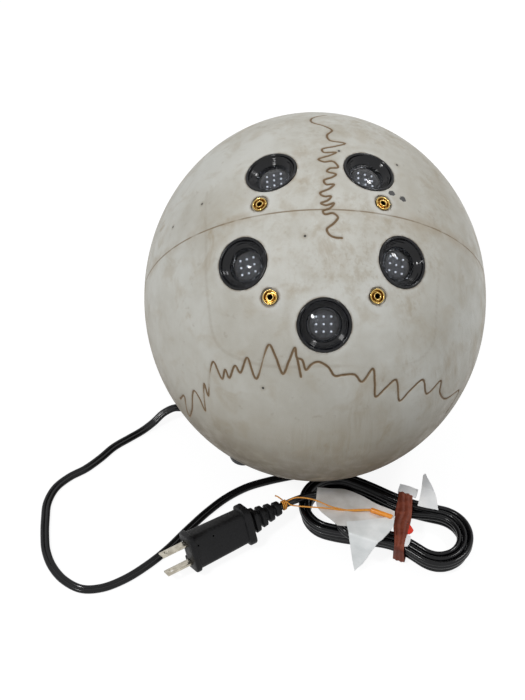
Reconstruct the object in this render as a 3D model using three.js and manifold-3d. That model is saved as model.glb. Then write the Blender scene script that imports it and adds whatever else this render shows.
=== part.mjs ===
// A light-up skull for seasonal displays: a hollow skull without a lower jaw, five lamps in a ring on the
// back of its vault, four brass thread inserts between them, and a mains lead with a fused plug.
// Millimetres, +Z up. The face looks along +Y, the lamps look back along -Y and up.
import * as THREE from "three";
import { mergeVertices } from "three/addons/utils/BufferGeometryUtils.js";
import Module from "manifold-3d";

const wasm = await Module();
wasm.setup();

// Running clearance between pieces, and how far a cutter runs past what it cuts
const clearance = 0.3;
const overrun = 5;

// Head: half sizes of the vault, seen from the centre of the head
const headHalfWidth = 105;
const headBackReach = 119.5;
const headFrontReach = 116;
const headCrownRise = 112;
const headUnderDrop = 105;
const shellWall = 4;
const baseDrop = 99;
const floorDrop = 120;
const neckHalfWidth = 60;
const neckHalfLength = 54;
const neckBlend = 6;

// Face: brow, eye sockets, nose, cheeks and the upper jaw, from the centre of the head
const muzzleCentreReach = 54;
const muzzleHalfWidth = 52;
const muzzleHalfLength = 54;
const socketSpacing = 78;
const socketDrop = 20;
const socketHalfWidth = 27;
const socketHalfHeight = 23;
const socketDepth = 34;
const socketTilt = THREE.MathUtils.degToRad(10);
const socketPower = 2.6;
const socketEdgeShares = [0.45, 1.1];
const noseHalfWidth = 17;
const noseHalfHeight = 20;
const noseDrop = 56;
const noseDepth = 24;
const noseTaper = 0.42;
const noseTaperStart = 0.3;
const noseEdgeShares = [0.5, 1.1];
const toothCount = 12;
const toothWidth = 10.5;
const toothHeight = 23;
const toothThickness = 9;
const toothRootDrop = 75;
const toothProud = 2.2;
const toothArc = THREE.MathUtils.degToRad(148);

// Forms of the face, as shares of the head's half width: height, place and spread sideways, then upwards
const faceFormShares = [
  [0.057, 0.324, 0.257, 0.057, 0.076], // brow ridges
  [-0.038, 0, 0.114, -0.057, 0.086], // hollow of the nose root
  [0.086, 0, 0.086, -0.257, 0.124], // nose bridge
  [0.105, 0.619, 0.19, -0.448, 0.105], // cheekbones
  [-0.086, 0.581, 0.143, -0.743, 0.143], // hollows under the cheekbones
];
const faceFadeShares = [0.3, 0.52];

// Forms of the flanks, as shares of the same: height, place and spread lengthways, then upwards
const flankFormShares = [
  [-0.086, 0.571, 0.286, -0.076, 0.238], // temple hollows
  [0.067, 0.4, 0.324, -0.438, 0.067], // cheek arches
  [-0.057, 0.343, 0.248, -0.648, 0.114], // hollows under the arches
  [0.057, -0.076, 0.133, -0.724, 0.171], // bone behind the ears
];
const flankFadeShares = [0.4, 0.66];

// Parting line of the two shells: a plane that leans back at the crown
const partingLean = THREE.MathUtils.degToRad(23);
const partingOffset = 0.2;

// Base plate, its screws and posts, and the rubber feet
const basePlateThickness = 4;
const footHeight = 5;
const footRadius = 9;
const footEdge = 1;
const footPlugRadius = 2;
const footPlugLength = 3;
const footInset = 15;
const postRadius = 9;
const postLength = 22;
const postInWall = 3.5;
const frontScrewReach = 60;
const backScrewReach = 22;
const screwRadius = 1.6;
const screwLength = 16;
const screwHeadRadius = 3;
const screwHeadHeight = 2;

// Lamp: a stepped cup, a domed lens and a round board of nine light dots
const cupRimRadius = 14.8;
const cupRimWidth = 1.4;
const cupRimSink = 0.8;
const cupRingWidth = 2.4;
const cupRingStep = 1.9;
const cupInnerStep = 1.6;
const cupShoulderWidth = 2.2;
const cupShoulderGap = 1.9;
const cupShoulderThickness = 1.4;
const cupBodyRadius = 12.8;
const cupBodyWall = 2;
const cupTailLength = 2.8;
const lampSeatRoom = 2.1;
const lensRadius = 9.2;
const lensRim = 1.2;
const lensCrown = 2.2;
const lensSeatStep = 1.8;
const lensSeatLedge = 1.3;
const lensSeatThickness = 1.6;
const boardThickness = 1.6;
const dotPitch = 3.9;
const dotSize = 2;
const dotHeight = 1.4;
const lampRound = 14;

// Lamp places as angles on the vault: turn from the middle of the back, rise above the level
const topLampTurn = 64;
const topLampRise = 74;
const sideLampTurn = 34.9;
const sideLampRise = 47;
const lowLampRise = 34.7;

// Brass thread inserts
const insertFlangeRadius = 4.1;
const insertFlangeThickness = 1;
const insertCollarHeight = 0.6;
const insertBodyRadius = 3;
const insertBoreRoom = 0.6;
const insertLength = 11;
const insertBore = 2.5;
const insertRecessRoom = 1.2;
const insertRecessDepth = 1.6;
const topInsertAside = 7.94;
const topInsertBelow = 21.84;
const lowInsertAside = 12.7;
const lowInsertBelow = 23.34;

// Lamp carrier: a curved plate behind the vault
const carrierGap = 2.9;
const carrierThickness = 3;
const carrierWidth = 128;
const carrierLength = 134;
const carrierCorner = 20;
const carrierRise = 60;
const carrierBossWall = 2.4;

// Driver board over the base plate
const driverWidth = 62;
const driverLength = 46;
const driverThickness = 1.6;
const driverLift = 8;
const standoffRadius = 3;
const standoffInset = 5;
const transformerWidth = 20;
const transformerLength = 17;
const transformerHeight = 15;
const capacitorRadius = 5.5;
const capacitorHeight = 17;
const capacitorEdge = 1;
const terminalWidth = 44;
const terminalLength = 8;
const terminalHeight = 9;
const wireRadius = 1;
const wirePitch = 8.5;

// Flat two-core mains cord, and the gland where it leaves the left side of the neck
const cordWidth = 5.6;
const cordThickness = 3;
const glandBack = 6;
const glandSink = 2.5;
const glandFlangeRadius = 6.5;
const glandFlangeThickness = 2;
const glandLength = 25;
const glandRootRadius = 5;
const glandTipRadius = 3.8;

// Hank of cord: loops on two layers, held by a rubber band
const hankTurns = 4.59;
const hankRadius = 24.6;
const hankStraight = 30;
const hankGap = 0.5;
const hankLayerGap = 0.7;
const hankClimbTurn = 2.109;
const hankClimbSpan = 0.22;
const hankClimbDip = 3;
const hankFirstStep = 1.7;
const hankFirstSpan = 0.12;
const tailGap = 1;
const hankTurn = THREE.MathUtils.degToRad(-24);
const hankCentre = new THREE.Vector2(41.5, -100.5);
const hankStepsPerLoop = 24;
const waistPlace = 11.5;
const waistSpan = 26;
const waistDraw = 5.5;
const nearWaistDraw = 9;
const bandThickness = 1;
const bandWidth = 10;
const bandCorner = 3;
const bandSlant = -0.26;
const bandSlack = 0.9;

// Paper tags and their string
const tagThickness = 0.5;
const largeTagWidth = 50;
const smallTagWidth = 14;
const smallTagLength = 20;
const stringRadius = 0.5;
const stringTubeRadius = 1.4;
const stringTubeLength = 14;
const stringTubeStart = -7;
const stringTubeSide = -6;

// Fused plug
const plugLength = 43;
const plugWidth = 22;
const plugThickness = 13;
const plugCorner = 3.5;
const flangeWidth = 25;
const flangeThickness = 16;
const flangeLength = 3.5;
const gripLength = 5;
const reliefLength = 22;
const reliefRootRadius = 5.4;
const reliefTipRadius = 3.7;
const reliefGrooveDepth = 0.8;
const reliefRibs = 3;
const bladeSpacing = 12.7;
const bladeLength = 17;
const bladeWidth = 6.3;
const bladeThickness = 1.5;
const bladeHole = 3.2;
const bladeHoleFromTip = 4;
const doorWidth = 11;
const doorLength = 20;
const doorThickness = 1.8;
const doorLip = 0.9;
const fuseRadius = 1.5;
const fuseLength = 10;
const plugHeading = THREE.MathUtils.degToRad(211.6);
const plugTilt = THREE.MathUtils.degToRad(66);
const plugCentre = new THREE.Vector3(-60, -116.5, 13.9);

// Places that follow from the sizes
const headCentreHeight = baseDrop + footHeight;
const headCentre = new THREE.Vector3(0, 0, headCentreHeight);
const baseLevel = footHeight;
const plateTop = baseLevel + basePlateThickness;
const cupRingRadius = cupRimRadius - cupRimWidth;
const cupRingDepth = cupRimSink + cupRingStep;
const cupInnerRadius = cupRingRadius - cupRingWidth;
const cupInnerDepth = cupRingDepth + cupInnerStep;
const cupShoulderRadius = cupRimRadius + cupShoulderWidth;
const cupShoulderDepth = shellWall + cupShoulderGap;
const lensSeatDepth = cupInnerDepth + lensSeatStep;
const boardSeatDepth = lensSeatDepth + lensSeatThickness;
const cupLength = boardSeatDepth + cupTailLength;
const boardRadius = cupBodyRadius - cupBodyWall - clearance;
const lampSeatRadius = cupShoulderRadius + lampSeatRoom;
const insertBoreRadius = insertBodyRadius + insertBoreRoom;
const insertRecessRadius = insertFlangeRadius + insertRecessRoom;
const carrierBossRadius = insertBoreRadius + carrierBossWall;
const carrierDepth = shellWall + carrierGap;
const glandHeight = baseLevel + glandFlangeRadius;
const hankPitch = cordThickness + hankGap;
const hankLayerPitch = cordWidth + hankLayerGap;
const hankHeight = clearance + bandThickness + cordWidth + hankLayerPitch;
const tailHeight = hankHeight + tailGap + cordWidth / 2;
const tagCrest = tailHeight + cordWidth / 2 + clearance + tagThickness;

// Materials
const bone = plastic(0xd3cdbd, 0.62);
const boneDark = plastic(0xb9b09b, 0.68);
const blackGloss = plastic(0x0b0b0c, 0.18);
const clearLens = plastic(0x55585c, 0.08);
const boardWhite = plastic(0xe9ebea, 0.45);
const brass = metal(0xd3a23c, 0.28);
const steel = metal(0xb4b6b8, 0.34);
const nickel = metal(0xc9c4b4, 0.25);
const rubberBlack = plastic(0x161616, 0.8);
const basePlastic = plastic(0x1c1c1d, 0.55);
const boardGreen = plastic(0x1f5b3a, 0.5);
const cordBlack = plastic(0x111112, 0.42);
const rubberBrown = plastic(0x6b2b20, 0.6);
const paper = plastic(0xf1f0ec, 0.85);
const orange = plastic(0xe8641c, 0.5);
const amber = plastic(0x8f7a52, 0.4);

const skull = new THREE.Group();

buildShells();
buildBase();
buildLamps();
buildInserts();
buildDriver();
buildCord();
buildPlug();
buildTags();

export default skull;

// Materials and meshes

function plastic(color, roughness) {
  return new THREE.MeshStandardMaterial({ color, roughness, metalness: 0 });
}

function metal(color, roughness) {
  return new THREE.MeshStandardMaterial({ color, roughness, metalness: 1 });
}

function add(name, shape, material) {
  const geometry = shape.isBufferGeometry ? tidy(shape) : meshOf(shape);
  const mesh = new THREE.Mesh(geometry, material.clone());
  mesh.name = name;
  skull.add(mesh);
  return mesh;
}

// Shared vertices merged, faces without area dropped, and faces turned outwards
function tidy(source) {
  const bare = source.clone();
  for (const name of Object.keys(bare.attributes)) {
    if (name !== "position") {
      bare.deleteAttribute(name);
    }
  }
  const merged = mergeVertices(bare, 1e-4);
  const from = merged.index.array;
  const place = merged.getAttribute("position");
  const kept = [];
  const a = new THREE.Vector3();
  const b = new THREE.Vector3();
  const c = new THREE.Vector3();
  let volume = 0;
  for (let i = 0; i < from.length; i += 3) {
    const corner = [from[i], from[i + 1], from[i + 2]];
    if (new Set(corner).size < corner.length) {
      continue;
    }
    kept.push(...corner);
    a.fromBufferAttribute(place, corner[0]);
    b.fromBufferAttribute(place, corner[1]);
    c.fromBufferAttribute(place, corner[2]);
    volume += a.dot(b.cross(c));
  }
  if (volume < 0) {
    kept.reverse();
  }
  merged.setIndex(kept);
  return merged;
}

function solidOf(geometry) {
  const clean = tidy(geometry);
  return new wasm.Manifold(
    new wasm.Mesh({
      numProp: 3,
      vertProperties: new Float32Array(clean.getAttribute("position").array),
      triVerts: new Uint32Array(clean.index.array),
    }),
  );
}

function meshOf(solid) {
  const mesh = solid.getMesh();
  const geometry = new THREE.BufferGeometry();
  geometry.setAttribute("position", new THREE.BufferAttribute(mesh.vertProperties, 3));
  geometry.setIndex(new THREE.BufferAttribute(mesh.triVerts, 1));
  return tidy(geometry);
}

function joined(solids) {
  return solids.reduce((all, next) => all.add(next));
}

// Turned forms, their axis on +Z: a profile of radius and height pairs
function turned(profile, round) {
  const points = profile.map(([radius, height]) => new THREE.Vector2(radius, height));
  points.push(points[0].clone());
  return new THREE.LatheGeometry(points, round).rotateX(Math.PI / 2);
}

function rod(radius, low, high, round = lampRound) {
  const half = (low + high) / 2;
  const column = new THREE.CylinderGeometry(radius, radius, high - low, round);
  return column.rotateX(Math.PI / 2).translate(0, 0, half);
}

function block(width, length, height, low) {
  return new THREE.BoxGeometry(width, length, height).translate(0, 0, low + height / 2);
}

function roundedRectangle(width, length, corner) {
  const x = width / 2;
  const y = length / 2;
  const outline = new THREE.Shape();
  outline.moveTo(x, y - corner);
  outline.absarc(x - corner, y - corner, corner, 0, Math.PI / 2, false);
  outline.absarc(-x + corner, y - corner, corner, Math.PI / 2, Math.PI, false);
  outline.absarc(-x + corner, -y + corner, corner, Math.PI, Math.PI * 1.5, false);
  outline.absarc(x - corner, -y + corner, corner, Math.PI * 1.5, Math.PI * 2, false);
  return outline;
}

function slab(outline, depth, curveSegments = 5) {
  return new THREE.ExtrudeGeometry(outline, { depth, bevelEnabled: false, curveSegments });
}

// Numbers that go smoothly from 0 to 1
function easeBetween(low, high, value) {
  const share = THREE.MathUtils.clamp((value - low) / (high - low), 0, 1);
  return share * share * (3 - share * 2);
}

function hill(across, acrossSpan, up, upSpan) {
  return Math.exp(-((across / acrossSpan) ** 2) - (up / upSpan) ** 2);
}

// Radius of the plain head in one direction: an egg, the neck below it and the upper jaw in front
function plainRadius(way, inset) {
  const across = headHalfWidth - inset;
  const along = (way.y > 0 ? headFrontReach : headBackReach) - inset;
  const upright = (way.z > 0 ? headCrownRise : headUnderDrop) - inset;
  const egg = 1 / Math.hypot(way.x / across, way.y / along, way.z / upright);
  const level = Math.hypot(way.x, way.y);
  const down = way.z < 0 ? level : 1 / level;
  const neckX = Math.abs(way.x / level) / (neckHalfWidth - inset);
  const neckY = Math.abs(way.y / level) / (neckHalfLength - inset);
  const neck = 1 / (neckX ** 4 + neckY ** 4) ** 0.25 / down;
  const floor = floorDrop / Math.max(-way.z, 0);
  let radius = softUnion(egg, Math.min(neck, floor));
  if (way.y > 0) {
    radius = softUnion(radius, Math.min(muzzleRadius(way, level, inset) / down, floor));
  }
  return Math.min(radius, floor);
}

function muzzleRadius(way, level, inset) {
  const acrossShare = way.x / level / (muzzleHalfWidth - inset);
  const alongShare = way.y / level / (muzzleHalfLength - inset);
  const centreShare = muzzleCentreReach / (muzzleHalfLength - inset);
  const a = acrossShare ** 2 + alongShare ** 2;
  const b = -2 * alongShare * centreShare;
  const c = centreShare ** 2 - 1;
  const room = b ** 2 - 4 * a * c;
  return room > 0 ? Math.max((-b + Math.sqrt(room)) / (2 * a), 0) : 0;
}

function softUnion(first, second) {
  return (first + second + Math.hypot(first - second, neckBlend)) / 2;
}

// Height of the face and temple forms over the plain head
function relief(point, inset) {
  const side = Math.abs(point.x);
  const up = point.z;
  const front = easeBetween(headFrontReach * faceFadeShares[0], headFrontReach * faceFadeShares[1], point.y);
  const flank = easeBetween(headHalfWidth * flankFadeShares[0], headHalfWidth * flankFadeShares[1], side);
  let rise = 0;
  for (const shares of faceFormShares) {
    const [height, across, acrossSpan, over, overSpan] = shares.map((share) => share * headHalfWidth);
    rise += front * height * hill(side - across, acrossSpan, up - over, overSpan);
  }
  for (const shares of flankFormShares) {
    const [height, along, alongSpan, over, overSpan] = shares.map((share) => share * headHalfWidth);
    rise += flank * height * hill(point.y - along, alongSpan, up - over, overSpan);
  }
  const across = side - socketSpacing / 2;
  const over = up + socketDrop;
  const socketX = (across * Math.cos(socketTilt) - over * Math.sin(socketTilt)) / (socketHalfWidth + inset);
  const socketZ = (across * Math.sin(socketTilt) + over * Math.cos(socketTilt)) / (socketHalfHeight + inset);
  const socket = (Math.abs(socketX) ** socketPower + Math.abs(socketZ) ** socketPower) ** (1 / socketPower);
  rise -= front * socketDepth * (1 - easeBetween(socketEdgeShares[0], socketEdgeShares[1], socket));
  const above = (up + noseDrop) / (noseHalfHeight + inset);
  const taper = 1 - noseTaper * THREE.MathUtils.clamp(above + noseTaperStart, 0, 1 + noseTaperStart);
  const nose = Math.hypot(side / ((noseHalfWidth + inset) * taper), above);
  rise -= front * noseDepth * (1 - easeBetween(noseEdgeShares[0], noseEdgeShares[1], nose));
  return rise;
}

function headRadius(way, inset) {
  const plain = plainRadius(way, inset);
  const point = way.clone().multiplyScalar(plain);
  return plain + relief(point, inset);
}

// A closed surface round the head's centre, with closer columns and rows over the face
function headSolid(radiusOf, backColumns, frontColumns, rows) {
  const turns = [];
  for (let i = 0; i < backColumns; i++) {
    turns.push(Math.PI * (1 + i / backColumns));
  }
  for (let i = 0; i < frontColumns; i++) {
    turns.push((Math.PI * i) / frontColumns);
  }
  const rises = [];
  const [lowRows, faceRows, vaultRows] = rows;
  const faceLow = THREE.MathUtils.degToRad(-64);
  const faceHigh = THREE.MathUtils.degToRad(10);
  for (let i = 1; i <= lowRows; i++) {
    rises.push(THREE.MathUtils.lerp(-Math.PI / 2, faceLow, i / (lowRows + 1)));
  }
  for (let i = 0; i <= faceRows; i++) {
    rises.push(THREE.MathUtils.lerp(faceLow, faceHigh, i / faceRows));
  }
  for (let i = 1; i < vaultRows; i++) {
    rises.push(THREE.MathUtils.lerp(faceHigh, Math.PI / 2, i / vaultRows));
  }
  const places = [];
  const put = (turn, rise) => {
    const level = Math.cos(rise);
    const way = new THREE.Vector3(Math.cos(turn) * level, Math.sin(turn) * level, Math.sin(rise));
    const place = way.clone().multiplyScalar(radiusOf(way)).add(headCentre);
    places.push(place.x, place.y, place.z);
  };
  put(0, -Math.PI / 2);
  for (const rise of rises) {
    for (const turn of turns) {
      put(turn, rise);
    }
  }
  put(0, Math.PI / 2);
  const round = turns.length;
  const top = places.length / 3 - 1;
  const faces = [];
  for (let i = 0; i < round; i++) {
    const next = (i + 1) % round;
    faces.push(0, 1 + next, 1 + i);
    for (let row = 0; row < rises.length - 1; row++) {
      const low = 1 + row * round;
      const high = low + round;
      faces.push(low + i, low + next, high + next, low + i, high + next, high + i);
    }
    const last = 1 + (rises.length - 1) * round;
    faces.push(last + i, last + next, top);
  }
  const geometry = new THREE.BufferGeometry();
  geometry.setAttribute("position", new THREE.Float32BufferAttribute(places, 3));
  geometry.setIndex(faces);
  return solidOf(geometry);
}

function vaultSolid(inset, columns, rows) {
  return headSolid((way) => plainRadius(way, inset), columns, columns, rows);
}

// How far the head's wall stands aside of the middle plane, at one place along it and one height
function wallReach(along, height) {
  let inside = 0;
  let outside = headHalfWidth * 2;
  for (let i = 0; i < 40; i++) {
    const side = (inside + outside) / 2;
    const point = new THREE.Vector3(-side, along, height - headCentreHeight);
    if (point.length() < headRadius(point.clone().normalize(), 0)) {
      inside = side;
    } else {
      outside = side;
    }
  }
  return inside;
}

// Place and outward direction on the vault, from a turn and a rise in degrees
function onVault(turnDegrees, riseDegrees) {
  const turn = THREE.MathUtils.degToRad(turnDegrees);
  const rise = THREE.MathUtils.degToRad(riseDegrees);
  const level = Math.cos(rise);
  return placeAlong(new THREE.Vector3(Math.sin(turn) * level, -Math.cos(turn) * level, Math.sin(rise)));
}

// Place and outward direction on the vault beside another place, across and up from it
function besidePlace(place, across, up) {
  const point = new THREE.Vector3(across, up, 0).applyMatrix4(place);
  return placeAlong(point.sub(headCentre).normalize());
}

function placeAlong(way) {
  const point = way.clone().multiplyScalar(plainRadius(way, 0));
  const normal = new THREE.Vector3(
    point.x / headHalfWidth ** 2,
    point.y / headBackReach ** 2,
    point.z / headCrownRise ** 2,
  ).normalize();
  const turnTo = new THREE.Quaternion().setFromUnitVectors(new THREE.Vector3(0, 0, 1), normal);
  const place = point.add(headCentre);
  return new THREE.Matrix4().compose(place, turnTo, new THREE.Vector3(1, 1, 1));
}

function lampPlaces() {
  return [
    ["upper_left", onVault(-topLampTurn, topLampRise)],
    ["upper_right", onVault(topLampTurn, topLampRise)],
    ["middle_left", onVault(-sideLampTurn, sideLampRise)],
    ["middle_right", onVault(sideLampTurn, sideLampRise)],
    ["lower", onVault(0, lowLampRise)],
  ];
}

// Each insert stands beside the upper or the middle lamp of its side
function insertPlaces() {
  const [upperLeft, upperRight, middleLeft, middleRight] = lampPlaces().map(([, place]) => place);
  return [
    ["upper_left", besidePlace(upperLeft, -topInsertAside, -topInsertBelow)],
    ["upper_right", besidePlace(upperRight, topInsertAside, -topInsertBelow)],
    ["lower_left", besidePlace(middleLeft, lowInsertAside, -lowInsertBelow)],
    ["lower_right", besidePlace(middleRight, -lowInsertAside, -lowInsertBelow)],
  ];
}

function footPlaces() {
  const sideways = neckHalfWidth - footInset;
  const lengthways = neckHalfLength - footInset;
  return [
    ["front_left", -sideways, lengthways],
    ["front_right", sideways, lengthways],
    ["back_left", -sideways, -lengthways],
    ["back_right", sideways, -lengthways],
  ];
}

// The base screws stand in posts that grow out of the side walls
function screwPlaces() {
  const fromWall = shellWall + postRadius - postInWall;
  const frontAside = wallReach(frontScrewReach, plateTop + clearance) - fromWall;
  const backAside = wallReach(-backScrewReach, plateTop + clearance) - fromWall;
  return [
    ["front_left", -frontAside, frontScrewReach],
    ["front_right", frontAside, frontScrewReach],
    ["back_left", -backAside, -backScrewReach],
    ["back_right", backAside, -backScrewReach],
  ];
}

// Everything on one side of the parting plane, as a large box turned to its lean
function partingSide(front, gap) {
  const reach = headBackReach * 4;
  const box = new THREE.BoxGeometry(reach, reach, reach);
  const shift = partingOffset + (front ? gap : -gap) + (front ? reach / 2 : -reach / 2);
  box.translate(0, shift, 0).rotateX(partingLean).translate(0, 0, headCentreHeight);
  return solidOf(box);
}

// Two moulded shells that meet at the parting plane, with screw posts at the base
function buildShells() {
  const outer = headSolid((way) => headRadius(way, 0), 18, 34, [1, 15, 8]);
  const inner = innerSolid(shellWall);
  const under = baseLevel - headCentreHeight;
  const below = solidOf(block(headHalfWidth * 3, headBackReach * 3, headCentreHeight, under));
  const posts = screwPlaces().map(([, x, y]) => {
    const low = plateTop + clearance;
    return solidOf(rod(postRadius, low, low + postLength, 8).translate(x, y, 0)).intersect(outer);
  });
  const pilots = screwPlaces().map(([, x, y]) => {
    const pilot = rod(screwRadius + clearance, 0, baseLevel + screwLength + clearance, 8);
    return solidOf(pilot.translate(x, y, 0));
  });
  const walls = joined([outer.subtract(inner), ...posts]);
  const shell = walls.subtract(joined([below, ...pilots, ...shellCutters()]));
  const teeth = upperTeeth(inner);
  const face = joined([shell.intersect(partingSide(true, clearance / 2)), teeth]);
  add("face_shell", face.simplify(clearance / 3), bone);
  add("back_shell", shell.intersect(partingSide(false, clearance / 2)).simplify(clearance / 3), boneDark);
  add("lamp_carrier", carrier(), basePlastic);
}

function innerSolid(inset) {
  return headSolid((way) => headRadius(way, inset), 14, 20, [1, 7, 4]);
}

// Bores, recesses and flat seats for the lamps, the inserts and the gland
function shellCutters() {
  const cutters = [];
  const deep = -(shellWall + overrun * 2);
  for (const [, place] of lampPlaces()) {
    cutters.push(solidOf(rod(cupRimRadius + clearance, deep, overrun).applyMatrix4(place)));
    cutters.push(solidOf(rod(lampSeatRadius, deep, clearance - cupShoulderDepth, 8).applyMatrix4(place)));
  }
  for (const [, place] of insertPlaces()) {
    cutters.push(solidOf(rod(insertBoreRadius, deep, overrun, 8).applyMatrix4(place)));
    cutters.push(solidOf(rod(insertRecessRadius, -insertRecessDepth, overrun, 12).applyMatrix4(place)));
    const bossRoom = rod(carrierBossRadius + clearance, deep, -shellWall - clearance, 8);
    cutters.push(solidOf(bossRoom.applyMatrix4(place)));
  }
  cutters.push(solidOf(rod(glandRootRadius + clearance, deep, overrun, 12).applyMatrix4(glandPlace())));
  cutters.push(solidOf(rod(glandFlangeRadius + clearance, 0, overrun * 2, 12).applyMatrix4(glandPlace())));
  return cutters;
}

// Twelve upper teeth along the curve of the jaw
function upperTeeth(inner) {
  const teeth = [];
  for (let i = 0; i < toothCount; i++) {
    const turn = toothArc * ((i + 0.5) / toothCount - 0.5);
    const reach = muzzleHalfLength + toothProud - toothThickness / 2;
    const spread = muzzleHalfWidth + toothProud - toothThickness / 2;
    const away = Math.abs(i - (toothCount - 1) / 2) / (toothCount / 2);
    const height = toothHeight * (1 - 0.25 * away);
    const tooth = new THREE.SphereGeometry(1, 6, 4);
    squareOff(tooth, 0.55);
    tooth.scale(toothWidth / 2, toothThickness / 2, height / 2);
    tooth.rotateZ(-turn);
    tooth.translate(
      spread * Math.sin(turn),
      muzzleCentreReach + reach * Math.cos(turn),
      headCentreHeight - toothRootDrop - height / 2,
    );
    teeth.push(solidOf(tooth));
  }
  return joined(teeth).subtract(inner);
}

// A unit sphere drawn towards a cube
function squareOff(geometry, power) {
  const place = geometry.getAttribute("position");
  for (let i = 0; i < place.count; i++) {
    const corner = [place.getX(i), place.getY(i), place.getZ(i)];
    const soft = corner.map((v) => Math.sign(v) * Math.abs(v) ** power);
    place.setXYZ(i, ...soft);
  }
}

// A curved plate behind both shells that carries the lamps and inserts
function carrier() {
  const rows = [0, 2, 6];
  const outer = vaultSolid(carrierDepth, 12, rows);
  const inner = vaultSolid(carrierDepth + carrierThickness, 12, rows);
  const outline = slab(roundedRectangle(carrierWidth, carrierLength, carrierCorner), headBackReach * 2);
  const lean = Math.PI / 2 - THREE.MathUtils.degToRad(carrierRise);
  outline.rotateX(lean).translate(0, 0, headCentreHeight);
  const window = solidOf(outline);
  let plate = outer.subtract(inner).intersect(window);
  const bosses = insertPlaces().map(([, place]) => {
    const bossRoot = -(carrierDepth + carrierThickness + overrun);
    const boss = rod(carrierBossRadius, bossRoot, -(shellWall + clearance * 2), 8);
    return solidOf(boss.applyMatrix4(place));
  });
  plate = joined([plate, ...bosses]);
  const bores = [];
  const seat = -(cupShoulderDepth + cupShoulderThickness + clearance);
  for (const [, place] of lampPlaces()) {
    bores.push(solidOf(rod(cupBodyRadius + clearance, -cupLength - overrun, overrun).applyMatrix4(place)));
    bores.push(solidOf(rod(lampSeatRadius, seat, overrun, 8).applyMatrix4(place)));
  }
  for (const [, place] of insertPlaces()) {
    const bore = rod(insertBoreRadius, -(insertLength + clearance + overrun * 2), overrun, 8);
    bores.push(solidOf(bore.applyMatrix4(place)));
  }
  return plate.subtract(joined(bores)).simplify(clearance / 3);
}

// Base plate with standoffs for the driver board, four screws and four rubber feet
function buildBase() {
  const sheet = solidOf(block(headHalfWidth * 2, headBackReach * 2, basePlateThickness, baseLevel));
  const standoffs = driverCorners().map(([x, y]) => {
    return solidOf(rod(standoffRadius, baseLevel, plateTop + driverLift, 8).translate(x, y, 0));
  });
  const plate = joined([innerSolid(shellWall + clearance).intersect(sheet), ...standoffs]);
  const glandRoom = rod(glandRootRadius + clearance * 2, -shellWall * 2, overrun, 12);
  const cutters = [solidOf(glandRoom.applyMatrix4(glandPlace()))];
  for (const [, x, y] of screwPlaces()) {
    const sink = baseLevel + screwHeadHeight + clearance;
    cutters.push(solidOf(rod(screwRadius + clearance, 0, plateTop + overrun, 8).translate(x, y, 0)));
    cutters.push(solidOf(rod(screwHeadRadius + clearance * 2, 0, sink, 8).translate(x, y, 0)));
  }
  for (const [, x, y] of footPlaces()) {
    const deep = baseLevel + footPlugLength + clearance;
    cutters.push(solidOf(rod(footPlugRadius + clearance, 0, deep, 8).translate(x, y, 0)));
  }
  add("base_plate", plate.subtract(joined(cutters)).simplify(clearance / 3), basePlastic);
  for (const [name, x, y] of screwPlaces()) {
    const screw = turned(
      [
        [0, 0],
        [screwHeadRadius, 0],
        [screwHeadRadius, screwHeadHeight],
        [screwRadius, screwHeadHeight],
        [screwRadius, screwLength - screwRadius],
        [0, screwLength],
      ],
      8,
    );
    add("base_screw_" + name, screw.translate(x, y, baseLevel + clearance / 2), steel);
  }
  const footTop = baseLevel - clearance;
  for (const [name, x, y] of footPlaces()) {
    const foot = turned(
      [
        [0, 0],
        [footRadius - footEdge, 0],
        [footRadius, footEdge],
        [footRadius, footTop - footEdge],
        [footRadius - footEdge, footTop],
        [footPlugRadius, footTop],
        [footPlugRadius, baseLevel + footPlugLength],
        [0, baseLevel + footPlugLength],
      ],
      10,
    );
    add("foot_" + name, foot.translate(x, y, 0), rubberBlack);
  }
}

// Cups, lenses and light boards, each on its place on the vault
function buildLamps() {
  const shoulderBack = cupShoulderDepth + cupShoulderThickness;
  const seatRadius = lensRadius + clearance;
  const throat = seatRadius - lensSeatLedge;
  const pocket = boardRadius + clearance;
  const lensBase = -lensSeatDepth + clearance;
  const boardTop = -boardSeatDepth - clearance;
  for (const [name, place] of lampPlaces()) {
    const cup = turned(
      [
        [cupRimRadius, -cupRimSink],
        [cupRingRadius, -cupRimSink],
        [cupRingRadius, -cupRingDepth],
        [cupInnerRadius, -cupRingDepth],
        [cupInnerRadius, -cupInnerDepth],
        [seatRadius, -cupInnerDepth],
        [seatRadius, -lensSeatDepth],
        [throat, -lensSeatDepth],
        [throat, -boardSeatDepth],
        [pocket, -boardSeatDepth],
        [pocket, -cupLength],
        [cupBodyRadius, -cupLength],
        [cupBodyRadius, -shoulderBack],
        [cupShoulderRadius, -shoulderBack],
        [cupShoulderRadius, -cupShoulderDepth],
        [cupRimRadius, -cupShoulderDepth],
      ],
      lampRound,
    );
    add("lamp_cup_" + name, cup.applyMatrix4(place), blackGloss);
    const lens = turned(
      [
        [0, lensBase],
        [lensRadius, lensBase],
        [lensRadius, lensBase + lensRim],
        [lensRadius * 0.6, lensBase + lensRim + lensCrown * 0.7],
        [0, lensBase + lensRim + lensCrown],
      ],
      lampRound,
    );
    add("lamp_lens_" + name, lens.applyMatrix4(place), clearLens);
    const parts = [solidOf(rod(boardRadius, boardTop - boardThickness, boardTop))];
    for (const column of [-1, 0, 1]) {
      for (const row of [-1, 0, 1]) {
        const dot = block(dotSize, dotSize, dotHeight + boardThickness / 2, boardTop - boardThickness / 2);
        parts.push(solidOf(dot.translate(column * dotPitch, row * dotPitch, 0)));
      }
    }
    add("light_board_" + name, meshOf(joined(parts)).applyMatrix4(place), boardWhite);
  }
}

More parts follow.
